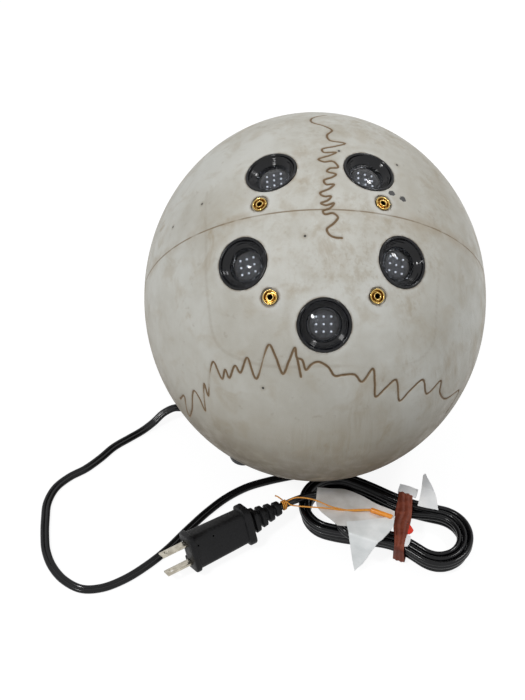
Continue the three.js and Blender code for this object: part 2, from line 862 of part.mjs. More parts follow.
// Four flanged brass inserts, threaded for a fixing from outside
function buildInserts() {
  const flangeLow = -insertRecessDepth + clearance;
  const flangeHigh = flangeLow + insertFlangeThickness;
  const bore = insertBore / 2;
  for (const [name, place] of insertPlaces()) {
    const insert = turned(
      [
        [bore, flangeHigh + insertCollarHeight],
        [bore, -insertLength],
        [insertBodyRadius, -insertLength],
        [insertBodyRadius, flangeLow],
        [insertFlangeRadius, flangeLow],
        [insertFlangeRadius, flangeHigh],
        [insertBodyRadius, flangeHigh],
        [insertBodyRadius * 0.8, flangeHigh + insertCollarHeight],
      ],
      10,
    );
    add("thread_insert_" + name, insert.applyMatrix4(place), brass);
  }
}

function driverCorners() {
  const x = driverWidth / 2 - standoffInset;
  const y = driverLength / 2 - standoffInset;
  return [
    [-x, y],
    [x, y],
    [-x, -y],
    [x, -y],
  ];
}

// Driver board on the base plate, with one pair of wires to each lamp
function buildDriver() {
  const low = plateTop + driverLift + clearance;
  const high = low + driverThickness + clearance;
  add("driver_board", block(driverWidth, driverLength, driverThickness, low), boardGreen);
  const transformer = block(transformerWidth, transformerLength, transformerHeight, high);
  const transformerX = -driverWidth / 2 + transformerWidth / 2 + standoffInset;
  add("driver_transformer", transformer.translate(transformerX, -transformerLength / 2, 0), amber);
  const capacitor = turned(
    [
      [0, 0],
      [capacitorRadius, 0],
      [capacitorRadius, capacitorHeight - capacitorEdge],
      [capacitorRadius - capacitorEdge, capacitorHeight],
      [0, capacitorHeight],
    ],
    12,
  );
  add("driver_capacitor", capacitor.translate(driverWidth / 4, -transformerLength / 2, high), blackGloss);
  const terminalY = driverLength / 2 - terminalLength / 2 - standoffInset;
  const terminals = block(terminalWidth, terminalLength, terminalHeight, high);
  add("terminal_strip", terminals.translate(0, terminalY, 0), boardWhite);
  const wireEnd = high + terminalHeight + clearance;
  const boardBack = boardSeatDepth + boardThickness + clearance * 2;
  const order = [1, 3, 4, 2, 0];
  lampPlaces().forEach(([name, place], index) => {
    const slot = order.indexOf(index) - 2;
    const start = new THREE.Vector3(0, 0, -boardBack).applyMatrix4(place);
    const inward = new THREE.Vector3(0, 0, -boardBack - boardRadius * 3).applyMatrix4(place);
    const end = new THREE.Vector3(-slot * wirePitch, terminalY, wireEnd);
    const above = end.clone().add(new THREE.Vector3(0, 0, terminalHeight * 4));
    const route = new THREE.CubicBezierCurve3(start, inward, above, end);
    add("lamp_wire_" + name, tube(route, wireRadius, wireRadius, 9, 5), rubberBlack);
  });
}

// A closed tube along a curve, with an oval section: half thickness across, half width along the level
function tube(route, halfThickness, halfWidth, steps, sides) {
  const section = new THREE.Shape();
  for (let i = 0; i <= sides; i++) {
    const turn = (Math.PI * 2 * (i + 0.5)) / sides;
    const x = halfThickness * Math.cos(turn);
    const y = halfWidth * Math.sin(turn);
    if (i === 0) {
      section.moveTo(x, y);
    } else if (i < sides) {
      section.lineTo(x, y);
    }
  }
  section.closePath();
  return new THREE.ExtrudeGeometry(section, { steps, bevelEnabled: false, extrudePath: route });
}

// How far aside the gland's flat seat is, sunk a little into the wall of the neck
function glandReach() {
  return wallReach(-glandBack, glandHeight) - glandSink;
}

// Where the gland stands in the left side of the neck, its axis pointing left
function glandPlace() {
  const up = new THREE.Vector3(0, 0, 1);
  const turnTo = new THREE.Quaternion().setFromUnitVectors(up, new THREE.Vector3(-1, 0, 0));
  const place = new THREE.Vector3(-glandReach(), -glandBack, glandHeight);
  return new THREE.Matrix4().compose(place, turnTo, new THREE.Vector3(1, 1, 1));
}

// The free lead from the gland round to the hank's first point, points chosen by hand
function leadRoute(end, heading) {
  const level = cordThickness / 2 + clearance / 3;
  const start = -glandReach() - glandLength - clearance;
  const points = [
    [start, -glandBack, glandHeight],
    [start - cordWidth, -glandBack, glandHeight],
    [-98, -8.2, 9],
    [-105, -12.6, 4.4],
    [-112, -17.5, 2],
    [-120, -23.5, level],
    [-130, -31.5, level],
    [-138, -41, level],
    [-147, -50, level],
    [-157, -57, level],
    [-165, -66, level],
    [-169, -78, level],
    [-169, -91, level],
    [-168, -104, level],
    [-166, -116, level],
    [-161, -128, level],
    [-153, -138, level],
    [-142, -144.5, level],
    [-130, -144, level],
    [-117, -138, level],
    [-104, -128, level],
    [-92, -116, level],
    [-80, -101, level],
    [-68, -87, level],
    [-56, -75.5, level],
    [-43, -67, level],
    [-29, -61.8, level],
    [-15, -58.2, level],
    [-3, -56, level],
    [8, -55.6, 2.2],
  ].map((point) => new THREE.Vector3(...point));
  const last = end.clone().addScaledVector(heading, -clearance);
  points.push(last.clone().addScaledVector(heading, -cordWidth), last);
  return points;
}

// The tail from the hank's last point over its left loops to the plug's relief, points chosen by hand
function tailRoute(start, heading) {
  const first = start.clone().addScaledVector(heading, clearance);
  const points = [
    [-6, -24.6, 12.9],
    [-12, -24.8, 15.8],
    [-17.9, -23.6, tailHeight],
    [-22.7, -19.9, tailHeight],
    [-25.5, -14.5, tailHeight],
    [-28.5, -8.8, tailHeight],
    [-33.7, -4.8, tailHeight],
    [-40, -3.4, tailHeight],
    [-46.3, -4.8, 16],
    [-52.2, -9.7, 15.6],
  ].map((point) => fromHank(new THREE.Vector3(...point)));
  const ahead = new THREE.Vector3(Math.cos(plugHeading), Math.sin(plugHeading), 0);
  const last = plugCentre.clone().addScaledVector(ahead, -(plugLength / 2 + reliefLength + clearance));
  const before = last.clone().addScaledVector(ahead, -cordWidth);
  return [first, first.clone().addScaledVector(heading, cordThickness), ...points, before, last];
}

// The hank's centre line: it spirals in on the lower layer, climbs along a run and spirals out above
function hankRoute() {
  const steps = Math.round(hankTurns * hankStepsPerLoop);
  const straight = hankStraight * 2;
  const arc = Math.PI * hankRadius;
  const loop = (straight + arc) * 2;
  const points = [];
  for (let i = 0; i <= steps; i++) {
    const turns = (i / steps) * hankTurns;
    const pastClimb = turns - hankClimbTurn;
    const climbShare = THREE.MathUtils.clamp(pastClimb / hankClimbSpan + 0.5, 0, 1);
    const inward = hankClimbTurn - Math.abs(pastClimb);
    const firstStep = hankFirstStep * easeBetween(hankFirstSpan, 0, turns);
    const dip = hankClimbDip * Math.sin(climbShare * Math.PI) ** 2;
    const radius = hankRadius + firstStep - inward * hankPitch - dip;
    const run = (turns * loop) % loop;
    let x = 0;
    let y = 0;
    if (run < straight) {
      x = run - hankStraight;
      y = radius;
    } else if (run < straight + arc) {
      const turn = Math.PI / 2 - ((run - straight) / arc) * Math.PI;
      x = hankStraight + radius * Math.cos(turn);
      y = radius * Math.sin(turn);
    } else if (run < straight * 2 + arc) {
      x = hankStraight - (run - straight - arc);
      y = -radius;
    } else {
      const turn = -Math.PI / 2 - ((run - straight * 2 - arc) / arc) * Math.PI;
      x = -hankStraight + radius * Math.cos(turn);
      y = radius * Math.sin(turn);
    }
    const climb = easeBetween(0, 1, climbShare);
    const held = Math.exp(-(((x - waistPlace) / waistSpan) ** 2));
    const draw = y < 0 ? nearWaistDraw : waistDraw;
    y -= draw * held * THREE.MathUtils.clamp((y * 2) / hankRadius, -1, 1);
    const lift = cordWidth / 2 + clearance + bandThickness * held;
    points.push(new THREE.Vector3(x, y, lift + climb * hankLayerPitch));
  }
  return points;
}

// From the hank's own axes to the table
function fromHank(point) {
  const turned = point.clone().applyAxisAngle(new THREE.Vector3(0, 0, 1), hankTurn);
  return turned.add(new THREE.Vector3(hankCentre.x, hankCentre.y, 0));
}

// A closed oval tube through given points: half its size across on the level, and half its size upwards
function woundTube(points, halfAcross, halfUp, sides) {
  const places = [];
  const faces = [];
  const last = points.length - 1;
  points.forEach((point, i) => {
    const along = points[Math.min(i + 1, last)].clone().sub(points[Math.max(i - 1, 0)]).normalize();
    const across = new THREE.Vector3(-along.y, along.x, 0).normalize();
    const up = across.clone().cross(along).negate();
    for (let k = 0; k < sides; k++) {
      const turn = (Math.PI * 2 * k) / sides;
      const place = point.clone();
      place.addScaledVector(across, halfAcross * Math.cos(turn));
      place.addScaledVector(up, halfUp * Math.sin(turn));
      places.push(place.x, place.y, place.z);
    }
  });
  for (let i = 0; i < last; i++) {
    for (let k = 0; k < sides; k++) {
      const a = i * sides + k;
      const b = i * sides + ((k + 1) % sides);
      faces.push(a, b, b + sides, a, b + sides, a + sides);
    }
  }
  for (let k = 1; k < sides - 1; k++) {
    faces.push(0, k + 1, k);
    faces.push(last * sides, last * sides + k, last * sides + k + 1);
  }
  const geometry = new THREE.BufferGeometry();
  geometry.setAttribute("position", new THREE.Float32BufferAttribute(places, 3));
  geometry.setIndex(faces);
  return geometry;
}

// Least gap between stretches of the hank that lie more than half a loop apart
function leastGap(points, halfThickness, halfHeight) {
  let least = Infinity;
  const apart = hankStepsPerLoop / 2;
  points.forEach((first, i) => {
    for (let j = i + apart; j < points.length; j++) {
      const gap = points[j].clone().sub(first);
      const flat = Math.hypot(gap.x, gap.y) - halfThickness * 2;
      const upright = Math.abs(gap.z) - halfHeight * 2;
      least = Math.min(least, Math.max(flat, upright));
    }
  });
  return least;
}

function buildCord() {
  const gland = turned(
    [
      [0, -shellWall],
      [glandRootRadius, -shellWall],
      [glandRootRadius, clearance],
      [glandFlangeRadius, clearance],
      [glandFlangeRadius, glandFlangeThickness],
      [glandRootRadius, glandFlangeThickness],
      [glandTipRadius, glandLength],
      [0, glandLength],
    ],
    12,
  );
  add("cord_gland", gland.applyMatrix4(glandPlace()), rubberBlack);
  const hankLine = hankRoute().map(fromHank);
  const heading = (from, to) => to.clone().sub(from).normalize();
  const [first, second] = hankLine;
  const [beforeLast, last] = hankLine.slice(-2);
  const lead = new THREE.CatmullRomCurve3(leadRoute(first, heading(first, second)), false, "centripetal");
  const tail = new THREE.CatmullRomCurve3(tailRoute(last, heading(beforeLast, last)), false, "centripetal");
  const flat = cordWidth / 2;
  const thin = cordThickness / 2;
  add("cord_lead", woundTube(lead.getSpacedPoints(46), flat, thin, 8), cordBlack);
  add("cord_hank", woundTube(hankLine, thin, flat, 6), cordBlack);
  add("cord_tail", woundTube(tail.getSpacedPoints(20), thin, flat, 8), cordBlack);
  add("rubber_band", band(), rubberBrown);
  const hankLength = new THREE.CatmullRomCurve3(hankLine).getLength();
  const lengths = [lead.getLength(), hankLength, tail.getLength()].map((length) => length.toFixed(0));
  console.log("cord stretches " + lengths.join(" + ") + " mm");
  console.log("least gap in the hank " + leastGap(hankLine, thin, flat).toFixed(2) + " mm");
}

// The rubber band round both runs of the hank
function band() {
  const loops = cordThickness + hankPitch + clearance * 2 + bandSlack;
  const inside = hankRadius * 2 - waistDraw - nearWaistDraw + loops;
  const middle = (nearWaistDraw - waistDraw - bandSlack) / 2;
  const high = cordWidth + hankLayerPitch + clearance * 2;
  const outline = roundedRectangle(inside + bandThickness * 2, high + bandThickness * 2, bandCorner);
  outline.holes.push(roundedRectangle(inside, high, bandCorner - bandThickness));
  const ring = slab(outline, bandWidth, 2);
  ring.rotateX(Math.PI / 2).rotateZ(Math.PI / 2);
  ring.translate(waistPlace - bandWidth / 2, middle, high / 2 + bandThickness);
  ring.applyMatrix4(new THREE.Matrix4().makeShear(0, 0, bandSlant, 0, 0, 0));
  return ring.rotateZ(hankTurn).translate(hankCentre.x, hankCentre.y, 0);
}

// The plug's own axes: X to the blades, Z out of its broad face, which is tilted up from the table
function plugPlace() {
  const ahead = new THREE.Vector3(Math.cos(plugHeading), Math.sin(plugHeading), 0);
  const level = new THREE.Vector3(-ahead.y, ahead.x, 0);
  const up = new THREE.Vector3(0, 0, 1);
  const side = level.clone().multiplyScalar(Math.cos(plugTilt)).addScaledVector(up, -Math.sin(plugTilt));
  const out = level.clone().multiplyScalar(Math.sin(plugTilt)).addScaledVector(up, Math.cos(plugTilt));
  return new THREE.Matrix4().makeBasis(ahead, side, out).setPosition(plugCentre);
}

// A bar along X with rounded long edges
function bar(low, high, width, thickness, corner) {
  const outline = roundedRectangle(thickness, width, corner);
  return slab(outline, high - low, 2).rotateY(Math.PI / 2).translate(low, 0, 0);
}

function brick(low, high, width, bottom, top) {
  const bar = new THREE.BoxGeometry(high - low, width, top - bottom);
  return bar.translate((low + high) / 2, 0, (bottom + top) / 2);
}

// A part of the plug turned over to its other broad face
function turnedOver(geometry) {
  return geometry.rotateX(Math.PI);
}

// Moulded plug body with its tapered relief, two blades and two fuses. The sliding fuse door is
// on the broad face that looks down and away
function buildPlug() {
  const place = plugPlace();
  const half = plugLength / 2;
  const face = plugThickness / 2;
  const ribs = [];
  const step = reliefLength / (reliefRibs * 2);
  for (let i = 0; i < reliefRibs * 2; i++) {
    const radius = THREE.MathUtils.lerp(reliefRootRadius, reliefTipRadius, i / (reliefRibs * 2 - 1));
    const groove = i % 2 ? reliefGrooveDepth : 0;
    ribs.push([radius - groove, i * step], [radius - groove, (i + 1) * step]);
  }
  const taper = turned([[0, -overrun], [reliefRootRadius, -overrun], ...ribs, [0, reliefLength]], 10);
  taper.rotateY(-Math.PI / 2).translate(-half, 0, 0);
  const parts = [
    bar(-half, half, plugWidth, plugThickness, plugCorner),
    bar(half - flangeLength, half, flangeWidth, flangeThickness, plugCorner),
    bar(-half, gripLength - half, flangeWidth, flangeThickness, plugCorner),
    taper,
  ].map(solidOf);
  const doorBack = -doorLength * 0.45;
  const doorFront = doorBack + doorLength;
  const lipTop = face - doorThickness + doorLip;
  const channelFloor = face - doorThickness - clearance;
  const fuseFloor = channelFloor - fuseRadius * 2 - clearance;
  const fuseRoom = fuseLength / 2 + clearance;
  const wide = doorWidth + doorLip * 2;
  const bladeRoot = half - gripLength - flangeLength;
  const cutters = [
    brick(doorBack - clearance, half + overrun, doorWidth + clearance * 2, channelFloor, face + overrun),
    brick(doorBack - clearance, half + overrun, wide + clearance * 2, channelFloor, lipTop + clearance),
    brick(-fuseRoom, fuseRoom, fuseRadius * 4 + clearance * 4, fuseFloor, face),
  ].map(turnedOver);
  for (const side of [-1, 1]) {
    const slot = brick(
      bladeRoot - clearance,
      half + overrun,
      bladeThickness + clearance * 2,
      -bladeWidth / 2 - clearance,
      bladeWidth / 2 + clearance,
    );
    cutters.push(slot.translate(0, (side * bladeSpacing) / 2, 0));
  }
  const body = joined(parts).subtract(joined(cutters.map(solidOf)));
  add("plug_body", meshOf(body).applyMatrix4(place), rubberBlack);
  for (const [name, side] of [
    ["upper", -1],
    ["lower", 1],
  ]) {
    const bladeTip = half + bladeLength;
    const blade = solidOf(brick(bladeRoot, bladeTip, bladeThickness, -bladeWidth / 2, bladeWidth / 2));
    const hole = rod(bladeHole / 2, -bladeThickness, bladeThickness, 8).rotateX(Math.PI / 2);
    const holed = blade.subtract(solidOf(hole.translate(half + bladeLength - bladeHoleFromTip, 0, 0)));
    const blank = meshOf(holed).translate(0, (side * bladeSpacing) / 2, 0);
    add("plug_blade_" + name, blank.applyMatrix4(place), nickel);
    const fuse = rod(fuseRadius, -fuseLength / 2, fuseLength / 2, 8).rotateY(Math.PI / 2);
    const across = side * (fuseRadius + clearance / 2 + clearance / 4);
    fuse.translate(0, across, -fuseFloor - fuseRadius - clearance / 2);
    add("fuse_" + name, fuse.applyMatrix4(place), nickel);
  }
  const doorParts = [
    brick(doorBack, doorFront, doorWidth, face - doorThickness, face),
    brick(doorBack, doorFront, wide, face - doorThickness, lipTop),
  ];
  const door = joined(doorParts.map(turnedOver).map(solidOf));
  add("fuse_door", meshOf(door).applyMatrix4(place), rubberBlack);
}

// A bent sheet: heights along a run, extruded to its width and laid on the hank's axes
function sheetOverHank(profile, width, along) {
  const outline = new THREE.Shape(profile.map(([y, z]) => new THREE.Vector2(y, z)));
  const under = profile.map(([y, z]) => new THREE.Vector2(y, z - tagThickness)).reverse();
  const closed = new THREE.Shape([...outline.getPoints(), ...under]);
  const sheet = slab(closed, width, 1);
  sheet.rotateX(Math.PI / 2).rotateZ(Math.PI / 2).translate(along, 0, 0);
  return sheet.rotateZ(hankTurn).translate(hankCentre.x, hankCentre.y, 0);
}

// Blank paper tags on the hank, and the orange string that ties them to the plug's relief
function buildTags() {
  const top = hankHeight + bandThickness + clearance * 2 + tagThickness;
  const reach = hankRadius + cordWidth;
  const large = [
    [reach * 0.12, tagCrest],
    [-reach * 0.9, tagCrest],
    [-reach * 1.08, top],
    [-reach * 1.26, top * 0.45],
    [-reach * 1.38, tagThickness * 3],
    [-reach * 1.5, tagThickness * 2],
  ];
  const largeTagStart = waistPlace - bandWidth / 2 - clearance - largeTagWidth;
  add("tag_large", sheetOverHank(large, largeTagWidth, largeTagStart), paper);
  const onHank = hankHeight + clearance + tagThickness;
  const small = [
    [smallTagLength + reach * 0.5, onHank],
    [reach * 0.5, onHank],
  ];
  add("tag_small", sheetOverHank(small, smallTagWidth, waistPlace + bandWidth / 2 + clearance), paper);
  const over = tagCrest + stringRadius + clearance;
  const tubeHeight = tagCrest + stringTubeRadius + clearance;
  const string = [
    [-60, -20, plugCentre.z + reliefTipRadius + stringRadius + clearance * 2],
    [-46, -16, over + stringTubeRadius * 2],
    [-30, -11, over + stringTubeRadius],
    [-18, -8.5, over],
    [-10, stringTubeSide, tubeHeight],
    [stringTubeStart - clearance, stringTubeSide, tubeHeight],
  ].map((point) => fromHank(new THREE.Vector3(...point)));
  const line = new THREE.CatmullRomCurve3(string, false, "centripetal");
  add("tag_string", tube(line, stringRadius, stringRadius, 12, 5), orange);
  const sleeve = rod(stringTubeRadius, 0, stringTubeLength, 8).rotateY(Math.PI / 2);
  sleeve.translate(stringTubeStart, stringTubeSide, tubeHeight);
  add("string_tube", sleeve.rotateZ(hankTurn).translate(hankCentre.x, hankCentre.y, 0), orange);
}
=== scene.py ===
# A light-up skull for seasonal displays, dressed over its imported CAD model.
# Metres, +Z up: the face looks along +Y, the lamps look back along -Y and up.
import math

import bmesh
import bpy
import numpy as np
from mathutils import Matrix, Vector, kdtree
from mathutils.bvhtree import BVHTree


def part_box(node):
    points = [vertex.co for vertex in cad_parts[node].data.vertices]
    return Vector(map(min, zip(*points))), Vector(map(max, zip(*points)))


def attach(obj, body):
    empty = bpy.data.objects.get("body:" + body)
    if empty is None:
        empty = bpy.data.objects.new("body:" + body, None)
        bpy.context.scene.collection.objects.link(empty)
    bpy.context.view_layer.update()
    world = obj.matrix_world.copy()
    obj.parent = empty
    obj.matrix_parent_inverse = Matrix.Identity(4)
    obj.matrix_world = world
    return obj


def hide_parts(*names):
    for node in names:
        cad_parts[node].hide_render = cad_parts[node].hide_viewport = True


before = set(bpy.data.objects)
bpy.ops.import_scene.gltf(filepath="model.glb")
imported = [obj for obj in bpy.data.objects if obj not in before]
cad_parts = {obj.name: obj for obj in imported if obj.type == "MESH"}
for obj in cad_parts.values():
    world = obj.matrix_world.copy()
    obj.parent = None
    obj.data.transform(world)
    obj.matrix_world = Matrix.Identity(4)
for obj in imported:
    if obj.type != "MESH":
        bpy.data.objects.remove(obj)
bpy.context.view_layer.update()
scene = bpy.context.scene
scene.view_settings.view_transform = "Standard"


# Camera: it stands where the photograph was taken from, behind the skull and well above it,
# turned a little to the left of the back. The frame's upright side is the longer one.
photo_width, photo_height = 525, 700
photo_focal = 1364.85
film_side = 36
camera_place = Vector((-0.0399, -0.6304, 0.6728))
camera_ahead = Vector((0.0089, 0.7163, -0.6977)).normalized()
camera_turn = camera_ahead.to_track_quat("-Z", "Y")

camera_body = bpy.data.cameras.new("camera")
camera_body.sensor_width = film_side
camera_body.lens = photo_focal * film_side / photo_height


def linked(name, data):
    """A new object with that data, linked to the scene."""
    made = bpy.data.objects.new(name, data)
    scene.collection.objects.link(made)
    return made


camera = linked("camera", camera_body)
camera.location = camera_place
camera.rotation_euler = camera_turn.to_euler()
scene.camera = camera


def sight_line(across, down):
    """The direction in which the camera sees one point of the photograph."""
    ray = Vector((across - photo_width / 2, photo_height / 2 - down, -photo_focal))
    return (camera_turn @ ray).normalized()


# Light: a plain studio with two square soft boxes, one over the viewer's left shoulder and one
# high on the right. The floor and the sky are white to the eye and keep a faint shadow.
pure_white = (1, 1, 1, 1)
sky_tint = (0.93, 0.96, 1, 1)
sky_strength = 0.42
light_aim = Vector((0, -0.02, 0.1))
floor_reach = 4
floor_grey = (0.72, 0.72, 0.72, 1)
floor_glow = 1.25
floor_glow_share = 0.72


def node_maker(tree):
    """A call that adds one node to the tree with its inputs set."""

    def node(kind, inputs=None, **settings):
        made = tree.nodes.new(kind)
        for name, value in settings.items():
            setattr(made, name, value)
        for socket, value in (inputs or {}).items():
            if isinstance(value, bpy.types.NodeSocket):
                tree.links.new(value, made.inputs[socket])
            else:
                made.inputs[socket].default_value = value
        return made

    return node


def shader_nodes(owner):
    """Clears the owner's node tree and returns a call that adds one node to it."""
    owner.use_nodes = True
    owner.node_tree.nodes.clear()
    return node_maker(owner.node_tree)


def seen_share(node):
    """1 for rays that show the studio, straight or mirrored, and 0 for rays that light the part."""
    rays = node("ShaderNodeLightPath").outputs
    mirrored = {0: rays["Is Glossy Ray"], 1: rays["Is Transmission Ray"]}
    mirrored = node("ShaderNodeMath", mirrored, operation="ADD").outputs[0]
    shown = {0: mirrored, 1: rays["Is Camera Ray"]}
    return node("ShaderNodeMath", shown, operation="ADD", use_clamp=True).outputs[0]


sky = bpy.data.worlds.new("studio_sky")
scene.world = sky
node = shader_nodes(sky)
dim = node("ShaderNodeBackground", {"Color": sky_tint, "Strength": sky_strength})
white = node("ShaderNodeBackground", {"Color": pure_white, "Strength": 1})
both = node("ShaderNodeMixShader", {0: seen_share(node), 1: dim.outputs[0], 2: white.outputs[0]})
node("ShaderNodeOutputWorld", {"Surface": both.outputs[0]})

# Each soft box has a place, the length of its sides and its power in watts
for name, place, side, power in (
    ("box_left", (-0.75, -0.62, 1.2), 0.22, 7.2),
    ("box_right", (0.8, 0.25, 1.35), 0.3, 6.2),
):
    box_light = bpy.data.lights.new(name, "AREA")
    box_light.size = side
    box_light.energy = power
    soft_box = linked(name, box_light)
    soft_box.location = place
    soft_box.rotation_euler = (light_aim - Vector(place)).to_track_quat("-Z", "Y").to_euler()

floor_mesh = bpy.data.meshes.new("floor")
corners = [(-1, -1, 0), (1, -1, 0), (1, 1, 0), (-1, 1, 0)]
floor_mesh.from_pydata([Vector(corner) * floor_reach for corner in corners], [], [(0, 1, 2, 3)])
floor = linked("floor", floor_mesh)
floor_paint = bpy.data.materials.new("floor_white")
node = shader_nodes(floor_paint)
lit_share = node("ShaderNodeMath", {0: seen_share(node), 1: floor_glow_share}, operation="MULTIPLY")
matte = node("ShaderNodeBsdfDiffuse", {"Color": floor_grey})
glow = node("ShaderNodeEmission", {"Color": pure_white, "Strength": floor_glow})
both = node("ShaderNodeMixShader", {0: lit_share.outputs[0], 1: matte.outputs[0], 2: glow.outputs[0]})
node("ShaderNodeOutputMaterial", {"Surface": both.outputs[0]})
floor_mesh.materials.append(floor_paint)


# Mains cord: one flat two-core lead, 5.6 by 3 mm, of glossy black vinyl. It comes out of the
# gland flat, loops out to the left, and is wound into a hank of loops that stand on edge.
cord_wide = 0.0056
cord_thin = 0.003
core_radius = cord_thin / 2
core_offset = (cord_wide - cord_thin) / 2
gap = 0.0003
neck_half_width = 0.06
gland_back = 0.006
gland_height = 0.0115
gland_length = 0.025
hank_turns = 4.59
hank_radius = 0.0246
hank_straight = 0.03
hank_pitch = cord_thin + 0.0005
hank_layer = cord_wide + 0.0007
hank_climb_turn = 2.109
hank_climb_span = 0.22
hank_dip = 0.003
hank_first_step = 0.0017
hank_first_span = 0.12
hank_turned = math.radians(-24)
hank_centre = Vector((0.0415, -0.1005, 0))
band_thickness = 0.001
waist_place = 0.0115
waist_span = 0.026
far_draw = 0.0055
near_draw = 0.009
steps_per_loop = 96
plug_heading = math.radians(211.6)
plug_tilt = math.radians(66)
plug_centre = Vector((-0.06, -0.1165, 0.0139))
plug_length = 0.043
relief_length = 0.022
cord_step = 0.0016
curve_steps = 24
tail_room = 0.001
tail_height = gap + band_thickness + cord_wide + hank_layer + tail_room + cord_wide / 2
core_half_sweep = math.radians(148)
core_points = 12
turns_over_from = 0.05
turned_over_at = 0.004


def ease(low, high, value):
    """A share that goes smoothly from 0 at low to 1 at high."""
    share = np.clip((value - low) / (high - low), 0, 1)
    return share * share * (3 - share * 2)


def from_hank(points):
    """Points on the hank's own axes, placed on the table."""
    turn = np.array(Matrix.Rotation(hank_turned, 3, "Z"))
    return np.asarray(points, float) @ turn.T + np.array(hank_centre)


def smooth_line(points, step):
    """A smooth line through given points, as points about one step apart."""
    points = np.array(points, float)
    ends = np.vstack([2 * points[0] - points[1], points, 2 * points[-1] - points[-2]])
    share = np.linspace(0, 1, curve_steps, endpoint=False)[:, None]
    fine = []
    for a, b, c, d in zip(ends, ends[1:], ends[2:], ends[3:]):
        ab, bc, cd = (np.linalg.norm(q - p) ** 0.5 for p, q in ((a, b), (b, c), (c, d)))
        leaves = ((b - a) / ab - (c - a) / (ab + bc) + (c - b) / bc) * bc
        enters = ((c - b) / bc - (d - b) / (bc + cd) + (d - c) / cd) * bc
        rise = share**3
        bow = share**2
        fine.append(
            (2 * rise - 3 * bow + 1) * b
            + (rise - 2 * bow + share) * leaves
            + (3 * bow - 2 * rise) * c
            + (rise - bow) * enters
        )
    return even_line(np.vstack([*fine, points[-1:]]), step)


def even_line(points, step):
    """The same line as points an even step apart."""
    run = np.concatenate([[0], np.cumsum(np.linalg.norm(np.diff(points, axis=0), axis=1))])
    stops = np.linspace(0, run[-1], max(int(round(run[-1] / step)), 1) + 1)
    return np.column_stack([np.interp(stops, run, points[:, k]) for k in range(3)])


def hank_line():
    """The hank's centre line: it spirals in on the lower layer, climbs and spirals out above."""
    turns = np.linspace(0, hank_turns, int(round(hank_turns * steps_per_loop)) + 1)
    past_climb = turns - hank_climb_turn
    climb = np.clip(past_climb / hank_climb_span + 0.5, 0, 1)
    inward = hank_climb_turn - np.abs(past_climb)
    first_step = hank_first_step * (1 - ease(0, hank_first_span, turns))
    radius = hank_radius + first_step - inward * hank_pitch - hank_dip * np.sin(climb * math.pi) ** 2
    straight = hank_straight * 2
    arc = math.pi * hank_radius
    run = (turns * (straight + arc) * 2) % ((straight + arc) * 2)
    right = math.pi / 2 - (run - straight) / hank_radius
    left = -math.pi / 2 - (run - straight * 2 - arc) / hank_radius
    pieces = [run < straight, run < straight + arc, run < straight * 2 + arc]
    x = np.select(
        pieces,
        [run - hank_straight, hank_straight + radius * np.cos(right), straight + arc + hank_straight - run],
        -hank_straight + radius * np.cos(left),
    )
    y = np.select(pieces, [radius, radius * np.sin(right), -radius], radius * np.sin(left))
    held = np.exp(-(((x - waist_place) / waist_span) ** 2))
    y -= np.where(y < 0, near_draw, far_draw) * held * np.clip(y * 2 / hank_radius, -1, 1)
    z = cord_wide / 2 + gap + band_thickness * held + ease(0, 1, climb) * hank_layer
    return from_hank(np.column_stack([x, y, z]))


hank = hank_line()
into_hank = (hank[1] - hank[0]) / np.linalg.norm(hank[1] - hank[0])
out_of_hank = (hank[-1] - hank[-2]) / np.linalg.norm(hank[-1] - hank[-2])
lead_start = -neck_half_width - gland_length - gap
lead_level = cord_thin / 2 + gap / 3
lead_bends = [
    (-0.12, -0.0235), (-0.13, -0.0315), (-0.138, -0.041), (-0.147, -0.05), (-0.157, -0.057),
    (-0.165, -0.066), (-0.169, -0.078), (-0.169, -0.091), (-0.168, -0.104), (-0.166, -0.116),
    (-0.161, -0.128), (-0.153, -0.138), (-0.142, -0.1445), (-0.13, -0.144), (-0.117, -0.138),
    (-0.104, -0.128), (-0.092, -0.116), (-0.08, -0.101), (-0.068, -0.087), (-0.056, -0.0755),
    (-0.043, -0.067), (-0.029, -0.0618), (-0.015, -0.0582), (-0.003, -0.056),
]
lead_points = [
    (lead_start, -gland_back, gland_height),
    (lead_start - cord_wide, -gland_back, gland_height),
    (-0.098, -0.0082, 0.009),
    (-0.105, -0.0126, 0.0044),
    (-0.112, -0.0175, 0.002),
    *[(x, y, lead_level) for x, y in lead_bends],
    (0.008, -0.0556, 0.0022),
    hank[0] - into_hank * (gap + cord_wide),
]
tail_bends = [
    (-0.006, -0.0246, 0.0129), (-0.012, -0.0248, 0.0158),
    (-0.0179, -0.0236, tail_height), (-0.0227, -0.0199, tail_height),
    (-0.0255, -0.0145, tail_height), (-0.0285, -0.0088, tail_height),
    (-0.0337, -0.0048, tail_height), (-0.04, -0.0034, tail_height),
    (-0.0463, -0.0048, 0.016), (-0.0522, -0.0097, 0.0156),
]
tail_points = [hank[-1] + out_of_hank * (gap + cord_thin), *from_hank(tail_bends)]
plug_ahead = Vector((math.cos(plug_heading), math.sin(plug_heading), 0))
relief_end = plug_centre - plug_ahead * (plug_length / 2 + relief_length + gap)
tail_points += [relief_end - plug_ahead * cord_wide, relief_end]

lead = smooth_line([*lead_points, hank[0]], cord_step)
tail = smooth_line([hank[-1], *tail_points], cord_step)
cord_line = np.vstack([lead[:-1], even_line(hank, cord_step), tail[1:]])
cord_run = np.concatenate([[0], np.cumsum(np.linalg.norm(np.diff(cord_line, axis=0), axis=1))])


